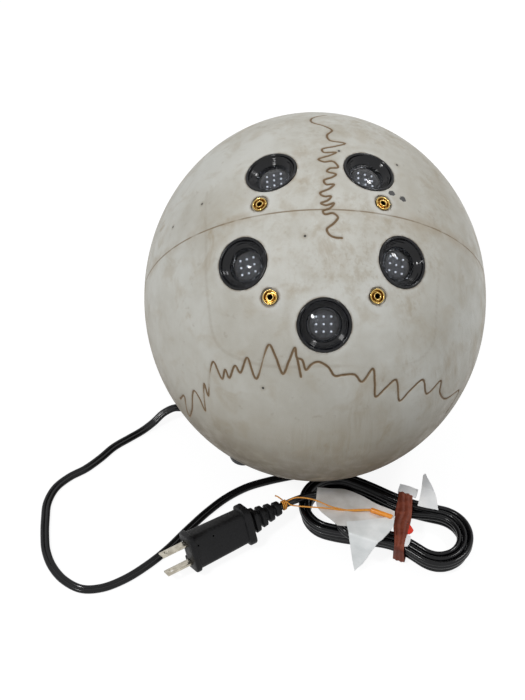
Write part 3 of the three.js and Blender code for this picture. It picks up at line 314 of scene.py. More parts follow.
def skin(name, rings, round_again=False):
    """A mesh over rings of points, closed at both ends or, with round_again, into itself."""
    count, around, _ = rings.shape
    faces = []
    last = count if round_again else count - 1
    for i in range(last):
        j = (i + 1) % count
        for k in range(around):
            m = (k + 1) % around
            faces.append((i * around + k, j * around + k, j * around + m, i * around + m))
    if not round_again:
        faces.append(tuple(range(around)))
        faces.append(tuple((count - 1) * around + k for k in reversed(range(around))))
    mesh = bpy.data.meshes.new(name)
    mesh.from_pydata(rings.reshape(-1, 3), [], faces)
    mesh.shade_smooth()
    return mesh


def swept(name, line, section, wide_ways):
    """A section of (wide, thin) points drawn along a line, its wide side along wide_ways."""
    along = np.gradient(line, axis=0)
    along /= np.linalg.norm(along, axis=1)[:, None]
    wide = wide_ways - along * np.sum(wide_ways * along, axis=1)[:, None]
    wide /= np.linalg.norm(wide, axis=1)[:, None]
    thin = np.cross(along, wide)
    rings = line[:, None] + section[None, :, :1] * wide[:, None] + section[None, :, 1:] * thin[:, None]
    return skin(name, rings)


def place_piece(name, mesh, material, nodes=(), body="head"):
    """Links a finished mesh as a piece that rides on its body and stands for its CAD nodes."""
    piece = linked(name, mesh)
    mesh.materials.clear()
    mesh.materials.append(material)
    if nodes:
        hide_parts(*nodes)
    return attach(piece, body)


core_turns = np.linspace(-core_half_sweep, core_half_sweep, core_points)
core = core_radius * np.column_stack([np.cos(core_turns), np.sin(core_turns)]) + (core_offset, 0)
cord_section = np.vstack([core, -core])
lead_length = cord_run[len(lead) - 1]
roll_share = ease(lead_length - turns_over_from, lead_length - turned_over_at, cord_run)
on_edge = roll_share * math.pi / 2
lying = core_radius + core_offset * np.sin(on_edge) + gap / 3
cord_line[:, 2] = np.maximum(cord_line[:, 2], lying)
level_ways = np.column_stack([-np.gradient(cord_line[:, 1]), np.gradient(cord_line[:, 0]), 0 * cord_run])
level_ways /= np.linalg.norm(level_ways, axis=1)[:, None]
upright = np.array([0, 0, 1])
wide_ways = level_ways * np.cos(on_edge)[:, None] + upright * np.sin(on_edge)[:, None]
cord_mesh = swept("mains_cord", cord_line, cord_section, wide_ways)


def edged(mesh, degrees):
    """Smooth shading over all edges but those that turn by more than so many degrees."""
    mesh.shade_smooth()
    mesh.set_sharp_from_angle(angle=math.radians(degrees))


edged(cord_mesh, 60)


def new_finish(name):
    """A new material and the call that adds one node to it."""
    paint = bpy.data.materials.new(name)
    return paint, shader_nodes(paint)


def cloud_at(node, scale, detail=2):
    """A noise of that scale on the piece's own coordinates."""
    place = node("ShaderNodeTexCoord").outputs["Object"]
    return node("ShaderNodeTexNoise", {"Vector": place, "Scale": scale, "Detail": detail}).outputs[0]


def mixed(node, share, dark, light):
    """A colour between two."""
    colours = {"Factor": share, "A": (*dark, 1), "B": (*light, 1)}
    return node("ShaderNodeMix", colours, data_type="RGBA").outputs[2]


def ranged(node, share, low, high):
    """A number between two."""
    return node("ShaderNodeMapRange", {"Value": share, "To Min": low, "To Max": high}).outputs[0]


def bumped(node, height, strength, distance):
    """A surface direction with the relief of a cloud."""
    inputs = {"Height": height, "Strength": strength, "Distance": distance}
    return node("ShaderNodeBump", inputs).outputs[0]


def coat(node, inputs):
    """Ends a material in one shader with those inputs."""
    face = node("ShaderNodeBsdfPrincipled", inputs)
    node("ShaderNodeOutputMaterial", {"Surface": face.outputs[0]})


def finish(name, scale, dark, light, gloss, bump, **fixed):
    """A material whose colour, gloss and relief all vary with one fine cloud of that scale.

    dark and light are the colours, gloss the roughness in each, and bump the relief in metres.
    """
    paint, node = new_finish(name)
    cloud = cloud_at(node, scale, 3)
    share = node("ShaderNodeMapRange", {"Value": cloud, "From Min": 0.32, "From Max": 0.68}).outputs[0]
    inputs = {
        "Base Color": mixed(node, share, dark, light),
        "Roughness": ranged(node, share, *gloss),
        "Normal": bumped(node, cloud, 1, bump),
        **{key.replace("_", " "): value for key, value in fixed.items()},
    }
    coat(node, inputs)
    return paint


cord_vinyl = finish(
    "cord_vinyl", 90, (0.003, 0.003, 0.004), (0.007, 0.007, 0.008), (0.14, 0.2), 0.00003,
    Specular_IOR_Level=0.26,
)
cord = place_piece(
    "mains_cord", cord_mesh, cord_vinyl, ("cord_lead", "cord_hank", "cord_tail")
)


# Head: a hollow moulded skull without its lower jaw, in two shells joined round the crown. Its
# form is an egg on a short neck, with the upper jaw in front and the forms of the face added.
half_width = 0.105
back_reach = 0.1195
front_reach = 0.116
crown_rise = 0.112
under_drop = 0.105
neck_half_length = 0.054
neck_blend = 0.006
floor_drop = 0.12
base_level = 0.005
head_centre = np.array([0, 0, 0.104])
shell_wall = 0.004
muzzle_reach = 0.054
muzzle_half_width = 0.052
muzzle_half_length = 0.054
face_form_shares = [
    (0.057, 0.324, 0.257, 0.057, 0.076),  # brow ridges
    (-0.038, 0, 0.114, -0.057, 0.086),  # hollow of the nose root
    (0.086, 0, 0.086, -0.257, 0.124),  # nose bridge
    (0.105, 0.619, 0.19, -0.448, 0.105),  # cheekbones
    (-0.086, 0.581, 0.143, -0.743, 0.143),  # hollows under the cheekbones
]
flank_form_shares = [
    (-0.086, 0.571, 0.286, -0.076, 0.238),  # temple hollows
    (0.067, 0.4, 0.324, -0.438, 0.067),  # cheek arches
    (-0.057, 0.343, 0.248, -0.648, 0.114),  # hollows under the arches
    (0.057, -0.076, 0.133, -0.724, 0.171),  # bone behind the ears
]
socket_spacing = 0.078
socket_drop = 0.02
socket_half_width = 0.027
socket_half_height = 0.023
socket_depth = 0.034
socket_tilt = math.radians(10)
socket_power = 2.6
nose_half_width = 0.017
nose_half_height = 0.02
nose_drop = 0.056
nose_depth = 0.024
nose_taper = 0.42
parting_lean = math.radians(23)
parting_offset = 0.0002
parting_gap = 0.0001
tooth_count = 12
tooth_arc = math.radians(148)
tooth_width = 0.0105
tooth_height = 0.023
tooth_thickness = 0.009
tooth_drop = 0.075
tooth_proud = 0.0022
tooth_power = 0.55


def soft_union(first, second):
    return (first + second + np.hypot(first - second, neck_blend)) / 2


def plain_radius(ways, inset=0.0):
    """How far the plain head reaches from its centre in each direction."""
    x, y, z = ways.T
    along = np.where(y > 0, front_reach, back_reach) - inset
    upright = np.where(z > 0, crown_rise, under_drop) - inset
    egg = 1 / np.sqrt((x / (half_width - inset)) ** 2 + (y / along) ** 2 + (z / upright) ** 2)
    level = np.maximum(np.hypot(x, y), 1e-9)
    down = np.where(z < 0, level, 1 / level)
    neck_x = np.abs(x / level) / (neck_half_width - inset)
    neck_y = np.abs(y / level) / (neck_half_length - inset)
    neck = 1 / (neck_x**4 + neck_y**4) ** 0.25 / down
    floor_reach = floor_drop / np.maximum(-z, 1e-9)
    radius = soft_union(egg, np.minimum(neck, floor_reach))
    across_share = x / level / (muzzle_half_width - inset)
    along_share = y / level / (muzzle_half_length - inset)
    centre_share = muzzle_reach / (muzzle_half_length - inset)
    a = across_share**2 + along_share**2
    b = -2 * along_share * centre_share
    room = b**2 - 4 * a * (centre_share**2 - 1)
    muzzle = np.where(room > 0, np.maximum((np.sqrt(np.maximum(room, 0)) - b) / (2 * a), 0), 0)
    jaw = soft_union(radius, np.minimum(muzzle / down, floor_reach))
    return np.minimum(np.where(y > 0, jaw, radius), floor_reach)


def forms(points, inset=0.0):
    """Height of the face and temple forms over the plain head."""
    side = np.abs(points[:, 0])
    y = points[:, 1]
    up = points[:, 2]
    front = ease(front_reach * 0.3, front_reach * 0.52, y)
    flank = ease(half_width * 0.4, half_width * 0.66, side)
    rise = np.zeros(len(points))
    for fade, run, shares in ((front, side, face_form_shares), (flank, y, flank_form_shares)):
        for height, place, spread, over, over_spread in np.array(shares) * half_width:
            off_place = ((run - place) / spread) ** 2 + ((up - over) / over_spread) ** 2
            rise += fade * height * np.exp(-off_place)
    across = side - socket_spacing / 2
    over = up + socket_drop
    x = (across * math.cos(socket_tilt) - over * math.sin(socket_tilt)) / (socket_half_width + inset)
    z = (across * math.sin(socket_tilt) + over * math.cos(socket_tilt)) / (socket_half_height + inset)
    socket = (np.abs(x) ** socket_power + np.abs(z) ** socket_power) ** (1 / socket_power)
    rise -= front * socket_depth * (1 - ease(0.45, 1.1, socket))
    above = (up + nose_drop) / (nose_half_height + inset)
    taper = 1 - nose_taper * np.clip(above + 0.3, 0, 1.3)
    nose = np.hypot(side / ((nose_half_width + inset) * taper), above)
    return rise - front * nose_depth * (1 - ease(0.5, 1.1, nose))


def head_points(ways, inset=0.0, plain=False):
    """Points on the head's surface in each direction from its centre."""
    radius = plain_radius(ways, inset)
    if not plain:
        radius = radius + forms(ways * radius[:, None], inset)
    return ways * radius[:, None] + head_centre


def even_ball(cuts):
    """A ball of evenly spread squares, without poles."""
    ball = bmesh.new()
    bmesh.ops.create_cube(ball, size=2)
    bmesh.ops.subdivide_edges(ball, edges=ball.edges, cuts=cuts, use_grid_fill=True)
    for corner in ball.verts:
        corner.co = Vector([math.tan(v * math.pi / 4) for v in corner.co]).normalized()
    return ball


def ways_of(ball):
    ways = np.array([corner.co for corner in ball.verts])
    return ways / np.linalg.norm(ways, axis=1)[:, None]


def put_points(ball, points):
    for corner, point in zip(ball.verts, points):
        corner.co = point


def solid_tool(name, ball):
    """Links a closed form that only cuts or joins other meshes."""
    mesh = bpy.data.meshes.new(name)
    ball.to_mesh(mesh)
    ball.free()
    return linked(name, mesh)


def shaped(target, steps):
    """The target's mesh after joining or cutting it with each tool, which are then removed."""
    for operation, tool in steps:
        step = target.modifiers.new(operation, "BOOLEAN")
        step.operation = operation
        step.solver = "MANIFOLD"
        step.object = tool
    ready = target.evaluated_get(bpy.context.evaluated_depsgraph_get())
    mesh = bpy.data.meshes.new_from_object(ready)
    for done in {target, *(tool for _, tool in steps)}:
        bpy.data.objects.remove(done)
    return mesh


def on_vault(turn, rise):
    """Place on the vault, its Z straight out, from a turn and a rise in degrees."""
    turn, rise = math.radians(turn), math.radians(rise)
    level = math.cos(rise)
    way = np.array([math.sin(turn) * level, -math.cos(turn) * level, math.sin(rise)])
    point = way * plain_radius(way[None])[0]
    out = Vector(point / np.array([half_width, back_reach, crown_rise]) ** 2).normalized()
    turn_to = Vector((0, 0, 1)).rotation_difference(out).to_matrix().to_4x4()
    return Matrix.Translation(Vector(point + head_centre)) @ turn_to


lamp_places = {
    "upper_left": on_vault(-64, 74),
    "upper_right": on_vault(64, 74),
    "middle_left": on_vault(-34.9, 47),
    "middle_right": on_vault(34.9, 47),
    "lower": on_vault(0, 34.7),
}
insert_places = {
    "upper_left": on_vault(-44.9, 64.3),
    "upper_right": on_vault(44.9, 64.3),
    "lower_left": on_vault(-19.5, 40.6),
    "lower_right": on_vault(19.5, 40.6),
}
gland_turn = Matrix.Rotation(-math.pi / 2, 4, "Y")
gland_place = Matrix.Translation((-neck_half_width, -gland_back, gland_height)) @ gland_turn


def rod(radius, low, high, place, around=64):
    """A round rod along a place's Z, for cutting."""
    bar = bmesh.new()
    bmesh.ops.create_cone(
        bar, cap_ends=True, segments=around, radius1=radius, radius2=radius, depth=high - low
    )
    bmesh.ops.translate(bar, verts=bar.verts, vec=(0, 0, (low + high) / 2))
    bmesh.ops.transform(bar, verts=bar.verts, matrix=place)
    return solid_tool("rod", bar)


# Sutures, pinholes and chips of the vault, all drawn on the photograph and thrown on the
# head along the camera's sight. The sutures are grooves pressed into the mould, washed in brown.
sagittal_marks = [
    (310, 109), (315, 112), (326, 115), (312, 118), (312, 122), (325, 126), (332, 130),
    (327, 135), (330, 140), (345, 143), (335, 146), (322, 149), (324, 152), (336, 152), (330, 155),
    (318.5, 159), (324, 161.5), (333, 161), (338, 167), (330, 168), (327, 171), (336, 174),
    (332, 177), (324, 180), (326, 184), (334, 184), (330, 188), (320, 193), (324, 196), (331, 196),
    (328, 200), (321, 203), (326, 205), (334, 203), (330, 208), (323, 211), (325, 214), (333, 213),
    (338, 217), (334, 223), (327, 229), (329, 234), (334, 237), (342, 238),
]
lambdoid_marks = [
    (180, 399), (181, 415), (184, 396), (189, 416), (192, 409), (194, 391), (199, 398), (205, 411),
    (204, 384), (208, 396), (213, 362), (222, 379), (225, 370), (229, 378), (235, 366), (240, 373),
    (247, 358), (256, 379), (269, 345), (276, 358), (283, 374), (289, 361), (295, 348), (297, 358),
    (302, 360), (306, 370), (311, 365), (318, 362), (328, 367), (335, 376), (344, 375), (355, 375),
    (362, 382), (373, 369), (375, 383), (376, 397), (386, 388), (396, 380), (400, 401), (410, 391),
    (423, 380), (427, 394), (441, 381), (440, 392), (445, 399), (459, 391), (446, 413),
]
spur_marks = [(297, 358), (299, 367), (301, 377)]
ridge_marks = [
    (207, 192), (206, 242), (208, 300), (218, 345), (257, 364), (330, 366), (415, 362), (432, 345),
    (437, 300), (434, 220),
]
pinhole_marks = [(397, 165), (305, 236), (202, 204), (173, 227), (263, 388), (339, 151), (154, 380)]
chip_marks = [
    [(388, 192), (393, 191), (395, 194), (391, 196)],
    [(399, 196), (403, 199), (407, 201), (402, 200)],
]
groove_reach = 0.0008
groove_depth = 0.0007
groove_fall = 1.4
fine_reach = 0.0022
fine_cuts = 4
head_cuts = 96
sight_cuts = 60
hollow_cuts = 30
lump_cuts = 9
root_rise_least = 0.001
root_rise_more = 0.016
root_width = 0.0066
root_thickness = 0.006
root_height = 0.026
root_proud = 0.0011
root_power = 0.8
cup_rim_radius = 0.0148
insert_bore_radius = 0.0036
insert_seat_radius = 0.0053
insert_seat_depth = 0.0016
gland_bore_radius = 0.0053
gland_bore_depth = 0.02
bore_depth = 0.03
past_skin = 0.01
cutter_reach = 0.5
suture_wash_reach = 0.0024
pressed_at_most = 0.0015
ridge_wash_reach = 0.006
full_hollow_depth = 0.012

plain_ball = even_ball(sight_cuts)
rough_points = head_points(ways_of(plain_ball))
put_points(plain_ball, rough_points)
rough_head = BVHTree.FromBMesh(plain_ball)
plain_ball.free()


def thrown(marks):
    """Points of the photograph thrown on the head."""
    hits = [rough_head.ray_cast(camera_place, sight_line(*mark))[0] for mark in marks]
    return np.array([hit for hit in hits if hit is not None])


def line_tree(lines, step=0.0003):
    """A tree of close points on smooth lines, to measure how near they are."""
    points = np.vstack([smooth_line(line, step) for line in lines])
    tree = kdtree.KDTree(len(points))
    for i, point in enumerate(points):
        tree.insert(point, i)
    tree.balance()
    return tree


def nearness(tree, points):
    return np.array([tree.find(point)[2] for point in points])


sutures = line_tree([thrown(sagittal_marks), thrown(lambdoid_marks), thrown(spur_marks)])
ridge = line_tree([thrown(ridge_marks)], 0.001)
pinholes = thrown(pinhole_marks)

ball = even_ball(head_cuts)
near_suture = nearness(sutures, head_points(ways_of(ball)))
close = [vert for vert, away in zip(ball.verts, near_suture) if away < fine_reach]
fine_faces = {face for vert in close for face in vert.link_faces}
fine_edges = list({edge for face in fine_faces for edge in face.edges})
bmesh.ops.subdivide_edges(ball, edges=fine_edges, cuts=fine_cuts, use_grid_fill=True)
bmesh.ops.triangulate(ball, faces=[face for face in ball.faces if len(face.verts) > 4])
ways = ways_of(ball)
points = head_points(ways)
from_groove = nearness(sutures, points) / groove_reach
points -= ways * groove_depth * np.exp(-(from_groove**2) * groove_fall)[:, None]
put_points(ball, points)
outer_head = solid_tool("outer_head", ball)


def jaw_lump(turn, top, wide, thick, high, proud, power):
    """A rounded lump on the curve of the upper jaw: a tooth, or the swell over its root."""
    ball = even_ball(lump_cuts)
    ways = ways_of(ball)
    lump = np.sign(ways) * np.abs(ways) ** power * (wide / 2, thick / 2, high / 2)
    jaw_wide = muzzle_half_width + proud - thick / 2
    jaw_long = muzzle_half_length + proud - thick / 2
    x = lump[:, 0] * math.cos(turn) + lump[:, 1] * math.sin(turn) + jaw_wide * math.sin(turn)
    y = lump[:, 1] * math.cos(turn) - lump[:, 0] * math.sin(turn) + jaw_long * math.cos(turn)
    put_points(ball, np.column_stack([x, y + muzzle_reach, lump[:, 2] + top - high / 2]))
    return solid_tool("jaw_lump", ball)


gum_line = head_centre[2] - tooth_drop
teeth = []
for i in range(tooth_count):
    turn = tooth_arc * ((i + 0.5) / tooth_count - 0.5)
    away = abs(i - (tooth_count - 1) / 2) / (tooth_count / 2)
    high = tooth_height * (1 - 0.25 * away)
    crown = jaw_lump(turn, gum_line, tooth_width, tooth_thickness, high, tooth_proud, tooth_power)
    root_top = gum_line + root_rise_least + root_rise_more * float(ease(0.25, 0.42, away))
    root = jaw_lump(turn, root_top, root_width, root_thickness, root_height, root_proud, root_power)
    teeth += [("UNION", crown), ("UNION", root)]
outer_head = linked("outer_head", shaped(outer_head, teeth))

hollow_ball = even_ball(hollow_cuts)
put_points(hollow_ball, head_points(ways_of(hollow_ball), shell_wall))


def block(low, high, place=None):
    """A box between two corners, for cutting."""
    box = bmesh.new()
    bmesh.ops.create_cube(box, size=1)
    for corner in box.verts:
        share = corner.co + Vector((0.5, 0.5, 0.5))
        corner.co = Vector([a + (b - a) * t for a, b, t in zip(low, high, share)])
    if place is not None:
        bmesh.ops.transform(box, verts=box.verts, matrix=place)
    return solid_tool("block", box)


below_base = block((-cutter_reach,) * 3, (cutter_reach, cutter_reach, base_level))
openings = [solid_tool("hollow", hollow_ball), below_base]
for place in lamp_places.values():
    openings.append(rod(cup_rim_radius + gap, -bore_depth, past_skin, place))
for place in insert_places.values():
    openings.append(rod(insert_bore_radius, -bore_depth, past_skin, place))
    openings.append(rod(insert_seat_radius, -insert_seat_depth, past_skin, place))
openings.append(rod(gland_bore_radius, -gland_bore_depth, past_skin, gland_place))
whole_head = linked("whole_head", shaped(outer_head, [("DIFFERENCE", cut) for cut in openings]))
parting_turn = Matrix.Translation(Vector(head_centre)) @ Matrix.Rotation(parting_lean, 4, "X")


def half_head(front):
    """One of the two shells, up to the parting plane."""
    low = parting_offset + parting_gap / 2 if front else -cutter_reach
    high = cutter_reach if front else parting_offset - parting_gap / 2
    half = whole_head.copy()
    scene.collection.objects.link(half)
    kept = block((-cutter_reach, low, -cutter_reach), (cutter_reach, high, cutter_reach), parting_turn)
    return shaped(half, [("INTERSECT", kept)])


back_mesh = half_head(False)
face_mesh = half_head(True)
bpy.data.objects.remove(whole_head)


def wash_and_shade_of(mesh):
    """Keeps on the mesh how near each point is to a suture or the carrier's ridge, and how deep
    it lies in a hollow of the face, as shares from 0 to 1."""
    edged(mesh, 38)
    points = np.array([vert.co for vert in mesh.vertices])
    from_middle = points - head_centre
    ways = from_middle / np.linalg.norm(from_middle, axis=1)[:, None]
    sunk = -forms(ways * plain_radius(ways)[:, None])
    unpressed = head_points(ways)
    depth = np.linalg.norm(unpressed - points, axis=1)
    from_suture = nearness(sutures, unpressed) + np.clip(depth - pressed_at_most, 0, 1)
    for name, shares in (
        ("suture_near", 1 - from_suture / suture_wash_reach),
        ("ridge_near", 1 - nearness(ridge, points) / ridge_wash_reach),
        ("hollow", sunk / full_hollow_depth),
    ):
        kept = mesh.attributes.new(name, "FLOAT", "POINT")
        kept.data.foreach_set("value", np.clip(shares, 0, 1))


wash_and_shade_of(back_mesh)
wash_and_shade_of(face_mesh)


# Bone finish: the moulded grey-cream plastic is rubbed with thin brown paint, which stays in the
# sutures and runs down in brush streaks. The face's hollows and the lower head, deepest round the
# neck, are darkened partly by that brown wash and partly by painted shade.
cream = (0.62, 0.612, 0.56, 1)
brown = (0.26, 0.2, 0.13)
dark_brown = (0.125, 0.075, 0.035)
right_side = (-0.09, 0.05)
back_side = (0.03, -0.03)
wash_and_shade_heights = (0.162, 0.05)
wash_and_shade_waver = 0.03
neck_heights = (0.115, 0.03)
seam_worn_reach = (0.007, 0.0005)
seam_line_reach = (0.0007, 0.00025)
rubbed_reach = (0.0055, 0.001)
edge_dark_reach = 0.0012
pinhole_halo = (0.0026, 0.0008)
pinhole_shade_reach = (0.0009, 0.0006)
chip_size = (0.0022, 0.0018, 0.004)
bone_paint, node = new_finish("bone_paint")
place = node("ShaderNodeTexCoord").outputs["Object"]


def noise_at(scale, detail=4, stretch=(1, 1, 1), warp=0.0):
    """A cloud of that scale, drawn out along an axis where stretch is small."""
    where = node("ShaderNodeVectorMath", {0: place, 1: stretch}, operation="MULTIPLY").outputs[0]
    inputs = {"Vector": where, "Scale": scale, "Detail": detail, "Roughness": 0.6, "Distortion": warp}
    return node("ShaderNodeTexNoise", inputs).outputs[0]


def slope(value, low, high, top=1.0):
    """A share that rises smoothly from 0 at low to top at high."""
    inputs = {"Value": value, "From Min": low, "From Max": high, "To Max": top}
    return node("ShaderNodeMapRange", inputs, interpolation_type="SMOOTHSTEP").outputs[0]


def worked(operation, first, second):
    return node("ShaderNodeMath", {0: first, 1: second}, operation=operation).outputs[0]


def patchy(share, scale, detail, low, high, top=1.0):
    """The share where a cloud of that scale is thick, and less of it where it is thin."""
    return worked("MULTIPLY", share, slope(noise_at(scale, detail), low, high, top))


def plus_part(value, other, part):
    """The value with a part of the other added."""
    return worked("ADD", value, worked("MULTIPLY", other, part))


def stained(base, share, colour):
    inputs = {"Factor": share, "A": base, "B": (*colour, 1)}
    return node("ShaderNodeMix", inputs, data_type="RGBA").outputs[2]


def near(name):
    return node("ShaderNodeAttribute", attribute_name=name).outputs["Fac"]


def vector_worked(operation, first, second=(0, 0, 0)):
    return node("ShaderNodeVectorMath", {0: first, 1: tuple(second)}, operation=operation).outputs


axes = node("ShaderNodeSeparateXYZ", {"Vector": place}).outputs
tone = stained(cream, slope(noise_at(14, 5), 0.34, 0.64), (0.49, 0.465, 0.4))
tone = stained(tone, slope(noise_at(65, 6, warp=0.6), 0.48, 0.7, 0.44), (0.43, 0.375, 0.285))
tone = stained(tone, slope(noise_at(190, 5), 0.62, 0.76, 0.3), brown)
streaks = slope(noise_at(150, 3, (1, 1, 0.1)), 0.46, 0.68)
fine_streaks = slope(noise_at(420, 2, (1, 1, 0.05)), 0.5, 0.68, 0.7)
brushed = patchy(worked("MAXIMUM", streaks, fine_streaks), 18, 3, 0.4, 0.62, 0.8)
brushed = worked("MULTIPLY", brushed, slope(axes["X"], *right_side, 0.75))
tone = stained(tone, brushed, (0.36, 0.3, 0.21))
smears = patchy(slope(noise_at(34, 6, (1, 1, 0.6), 1.5), 0.55, 0.74, 0.8), 9, 2, 0.4, 0.58)
tone = stained(tone, smears, (0.38, 0.31, 0.215))
# Darker towards the bottom: partly a brown wash, partly painted shade of the underside.
low_wash_and_shade = slope(plus_part(axes["Z"], noise_at(30, 5), wash_and_shade_waver), *wash_and_shade_heights)
tone = stained(tone, worked("MULTIPLY", low_wash_and_shade, 0.85), (0.26, 0.203, 0.12))
# Darkest round the neck and towards the back: partly brown wash, partly painted shade under the head.
neck_wash_and_shade = patchy(slope(axes["Z"], *neck_heights), 60, 4, 0.1, 0.6, 0.95)
neck_wash_and_shade = worked("MULTIPLY", neck_wash_and_shade, plus_part(0.5, slope(axes["Y"], *back_side), 0.5))
tone = stained(tone, neck_wash_and_shade, (0.07, 0.048, 0.026))
# The face's hollows turn brown: partly a wash, partly painted shade in the recesses.
tone = stained(tone, patchy(near("hollow"), 50, 5, 0.2, 0.55, 0.9), (0.15, 0.11, 0.066))
lean = (0, math.cos(parting_lean), math.sin(parting_lean))
from_centre = vector_worked("SUBTRACT", place, head_centre)[0]
beyond = vector_worked("DOT_PRODUCT", from_centre, lean)["Value"]
from_seam = worked("ABSOLUTE", worked("SUBTRACT", beyond, parting_offset), 0)
seam_worn = patchy(slope(from_seam, *seam_worn_reach, 0.5), 45, 5, 0.42, 0.62)
tone = stained(tone, seam_worn, (0.4, 0.33, 0.24))
tone = stained(tone, patchy(slope(from_seam, *seam_line_reach, 0.85), 60, 2, 0.3, 0.5), brown)

# Round each lamp and insert hole the paint is rubbed paler, and a thin ring at the very edge is painted
# darker.
for around, reach in ((lamp_places, cup_rim_radius + gap), (insert_places, insert_seat_radius)):
    for spot in around.values():
        away = worked("SUBTRACT", vector_worked("DISTANCE", place, spot.translation)["Value"], reach)
        tone = stained(tone, patchy(slope(away, *rubbed_reach, 0.5), 70, 3, 0.3, 0.6), (0.66, 0.655, 0.61))
        tone = stained(tone, patchy(slope(away, edge_dark_reach, 0, 0.7), 230, 3, 0.35, 0.6), (0.2, 0.15, 0.095))
tone = stained(tone, slope(near("ridge_near"), 0.72, 0.95, 0.2), brown)
tone = stained(tone, slope(near("suture_near"), 0.1, 0.8, 0.22), brown)
line_edge = plus_part(near("suture_near"), noise_at(500, 2), 0.14)
tone = stained(tone, slope(line_edge, 0.72, 0.84, 0.95), (0.2, 0.13, 0.065))
tone = stained(tone, slope(line_edge, 0.9, 1.02, 0.8), dark_brown)
# Each pinhole is a brown halo round a near-black core; the core is painted shade of a pit that the shell does
# not have.
for pit in pinholes:
    away = vector_worked("DISTANCE", place, pit)["Value"]
    tone = stained(tone, slope(away, *pinhole_halo, 0.35), brown)
    tone = stained(tone, slope(away, *pinhole_shade_reach, 0.95), (0.03, 0.028, 0.024))
for marks in chip_marks:
    corners = thrown(marks)
    middle = corners.mean(axis=0)
    out = Vector(middle - head_centre).normalized()
    along = (Vector(corners[2] - corners[0]) - out * out.dot(corners[2] - corners[0])).normalized()
    turned_to = Matrix((along, out.cross(along), out)).transposed().to_euler()
    laid = {"Location": tuple(middle), "Rotation": tuple(turned_to), "Scale": chip_size}
    spot = node("ShaderNodeMapping", {"Vector": place, **laid}, vector_type="TEXTURE").outputs[0]
    ragged = plus_part(vector_worked("LENGTH", spot)["Value"], noise_at(700, 2), 0.9)
    tone = stained(tone, slope(ragged, 1.5, 1.35, 0.95), (0.035, 0.034, 0.036))
gloss = slope(noise_at(120, 4), 0.3, 0.7, 0.22)
grain = plus_part(noise_at(1300, 2), noise_at(240, 3, (1, 1, 0.25)), 1.6)
bone_face = {
    "Base Color": tone,
    "Roughness": worked("ADD", gloss, 0.46),
    "Normal": bumped(node, grain, 0.5, 0.00025),
    "Specular IOR Level": 0.35,
}
coat(node, bone_face)
place_piece("back_of_skull", back_mesh, bone_paint, ("back_shell",))
place_piece("face_of_skull", face_mesh, bone_paint, ("face_shell",))


# Lamps: each is a glossy black cup that steps down in rings to a smoked clear dome, clipped in
# from behind. Under the dome nine beads stand in three rows on a round dark board; they glow
# faintly as a painted highlight, though the lamps are off.
cup_profile = [
    (cup_rim_radius, -0.0007), (0.0145, -0.0004), (0.0137, -0.0004), (0.0134, -0.0008),
    (0.0131, -0.0016), (0.0126, -0.0023), (0.0123, -0.0024), (0.0119, -0.0031), (0.0116, -0.0032),
    (0.0111, -0.0038), (0.0108, -0.0039), (0.0103, -0.0044), (0.0097, -0.0047), (0.0096, -0.0061),
    (0.0082, -0.0061), (0.0082, -0.0077), (0.0108, -0.0077), (0.0108, -0.0105), (0.0128, -0.0105),
    (0.0128, -0.0073), (0.017, -0.0073), (0.017, -0.0059), (cup_rim_radius, -0.0059),
]
cup_softness = 0.00025
lens_radius = 0.0094
lens_base = -0.0058
lens_rim = 0.001
lens_crown = 0.0024
lens_wall = 0.0007
lens_edge_share = 0.96
lens_steps = 13
board_radius = 0.0105
board_top = -0.008
board_bottom = -0.0096
dot_sizes = {"Pitch": 0.0041, "Dot radius": 0.00062, "Dots each way": 3, "Height": -0.0074}
weld_reach = 1e-7


def softened(profile, softness, closed=True):
    """The profile with each corner cut by a small round of three points."""
    count = len(profile)
    soft = []
    for i, corner in enumerate(profile):
        corner = Vector(corner)
        if not closed and i in (0, count - 1):
            soft.append(corner)
            continue
        before = Vector(profile[i - 1]) - corner
        after = Vector(profile[(i + 1) % count]) - corner
        reach = min(softness, before.length * 0.4, after.length * 0.4)
        start = corner + before.normalized() * reach
        end = corner + after.normalized() * reach
        soft += [start, (start + end) / 4 + corner / 2, end]
    return soft


def turned(profile, place, around=72):
    """A closed ring or round form turned from a profile of radius and height, on its place."""
    turns = np.linspace(0, 2 * math.pi, around, endpoint=False)
    rings = [[(p[0] * math.cos(turn), p[0] * math.sin(turn), p[1]) for turn in turns] for p in profile]
    mesh = skin("turned", np.array(rings), round_again=True)
    made = bmesh.new()
    made.from_mesh(mesh)
    bmesh.ops.remove_doubles(made, verts=made.verts, dist=weld_reach)
    bmesh.ops.transform(made, verts=made.verts, matrix=place)
    bmesh.ops.recalc_face_normals(made, faces=made.faces)
    made.to_mesh(mesh)
    made.free()
    mesh.shade_smooth()
    return mesh


cup_black = finish(
    "cup_black", 140, (0.0015, 0.0015, 0.002), (0.004, 0.0042, 0.006), (0.07, 0.12), 0.00002,
    Specular_IOR_Level=0.33,
)

smoked_clear, node = new_finish("smoked_clear")
cloud = cloud_at(node, 300)
smoked_face = {
    "Base Color": (0.66, 0.68, 0.72, 1),
    "Roughness": ranged(node, cloud, 0.02, 0.07),
    "Normal": bumped(node, cloud, 0.05, 0.0005),
    "Transmission Weight": 1,
    "IOR": 1.38,
    "Specular IOR Level": 0.3,
}
coat(node, smoked_face)

board_dark = finish(
    "lamp_board", 500, (0.03, 0.031, 0.034), (0.085, 0.088, 0.096), (0.3, 0.45), 0.00004
)

# The beads' faint emission is a painted highlight: the lamps are switched off.
beads_with_painted_glint, node = new_finish("bead_painted_glint")
bead_glint_inputs = {
    "Base Color": mixed(node, cloud_at(node, 700), (0.8, 0.82, 0.85), (0.95, 0.96, 1)),
    "Roughness": 0.12,
    "Emission Color": (0.9, 0.94, 1, 1),
    "Emission Strength": 0.45,
}
coat(node, bead_glint_inputs)


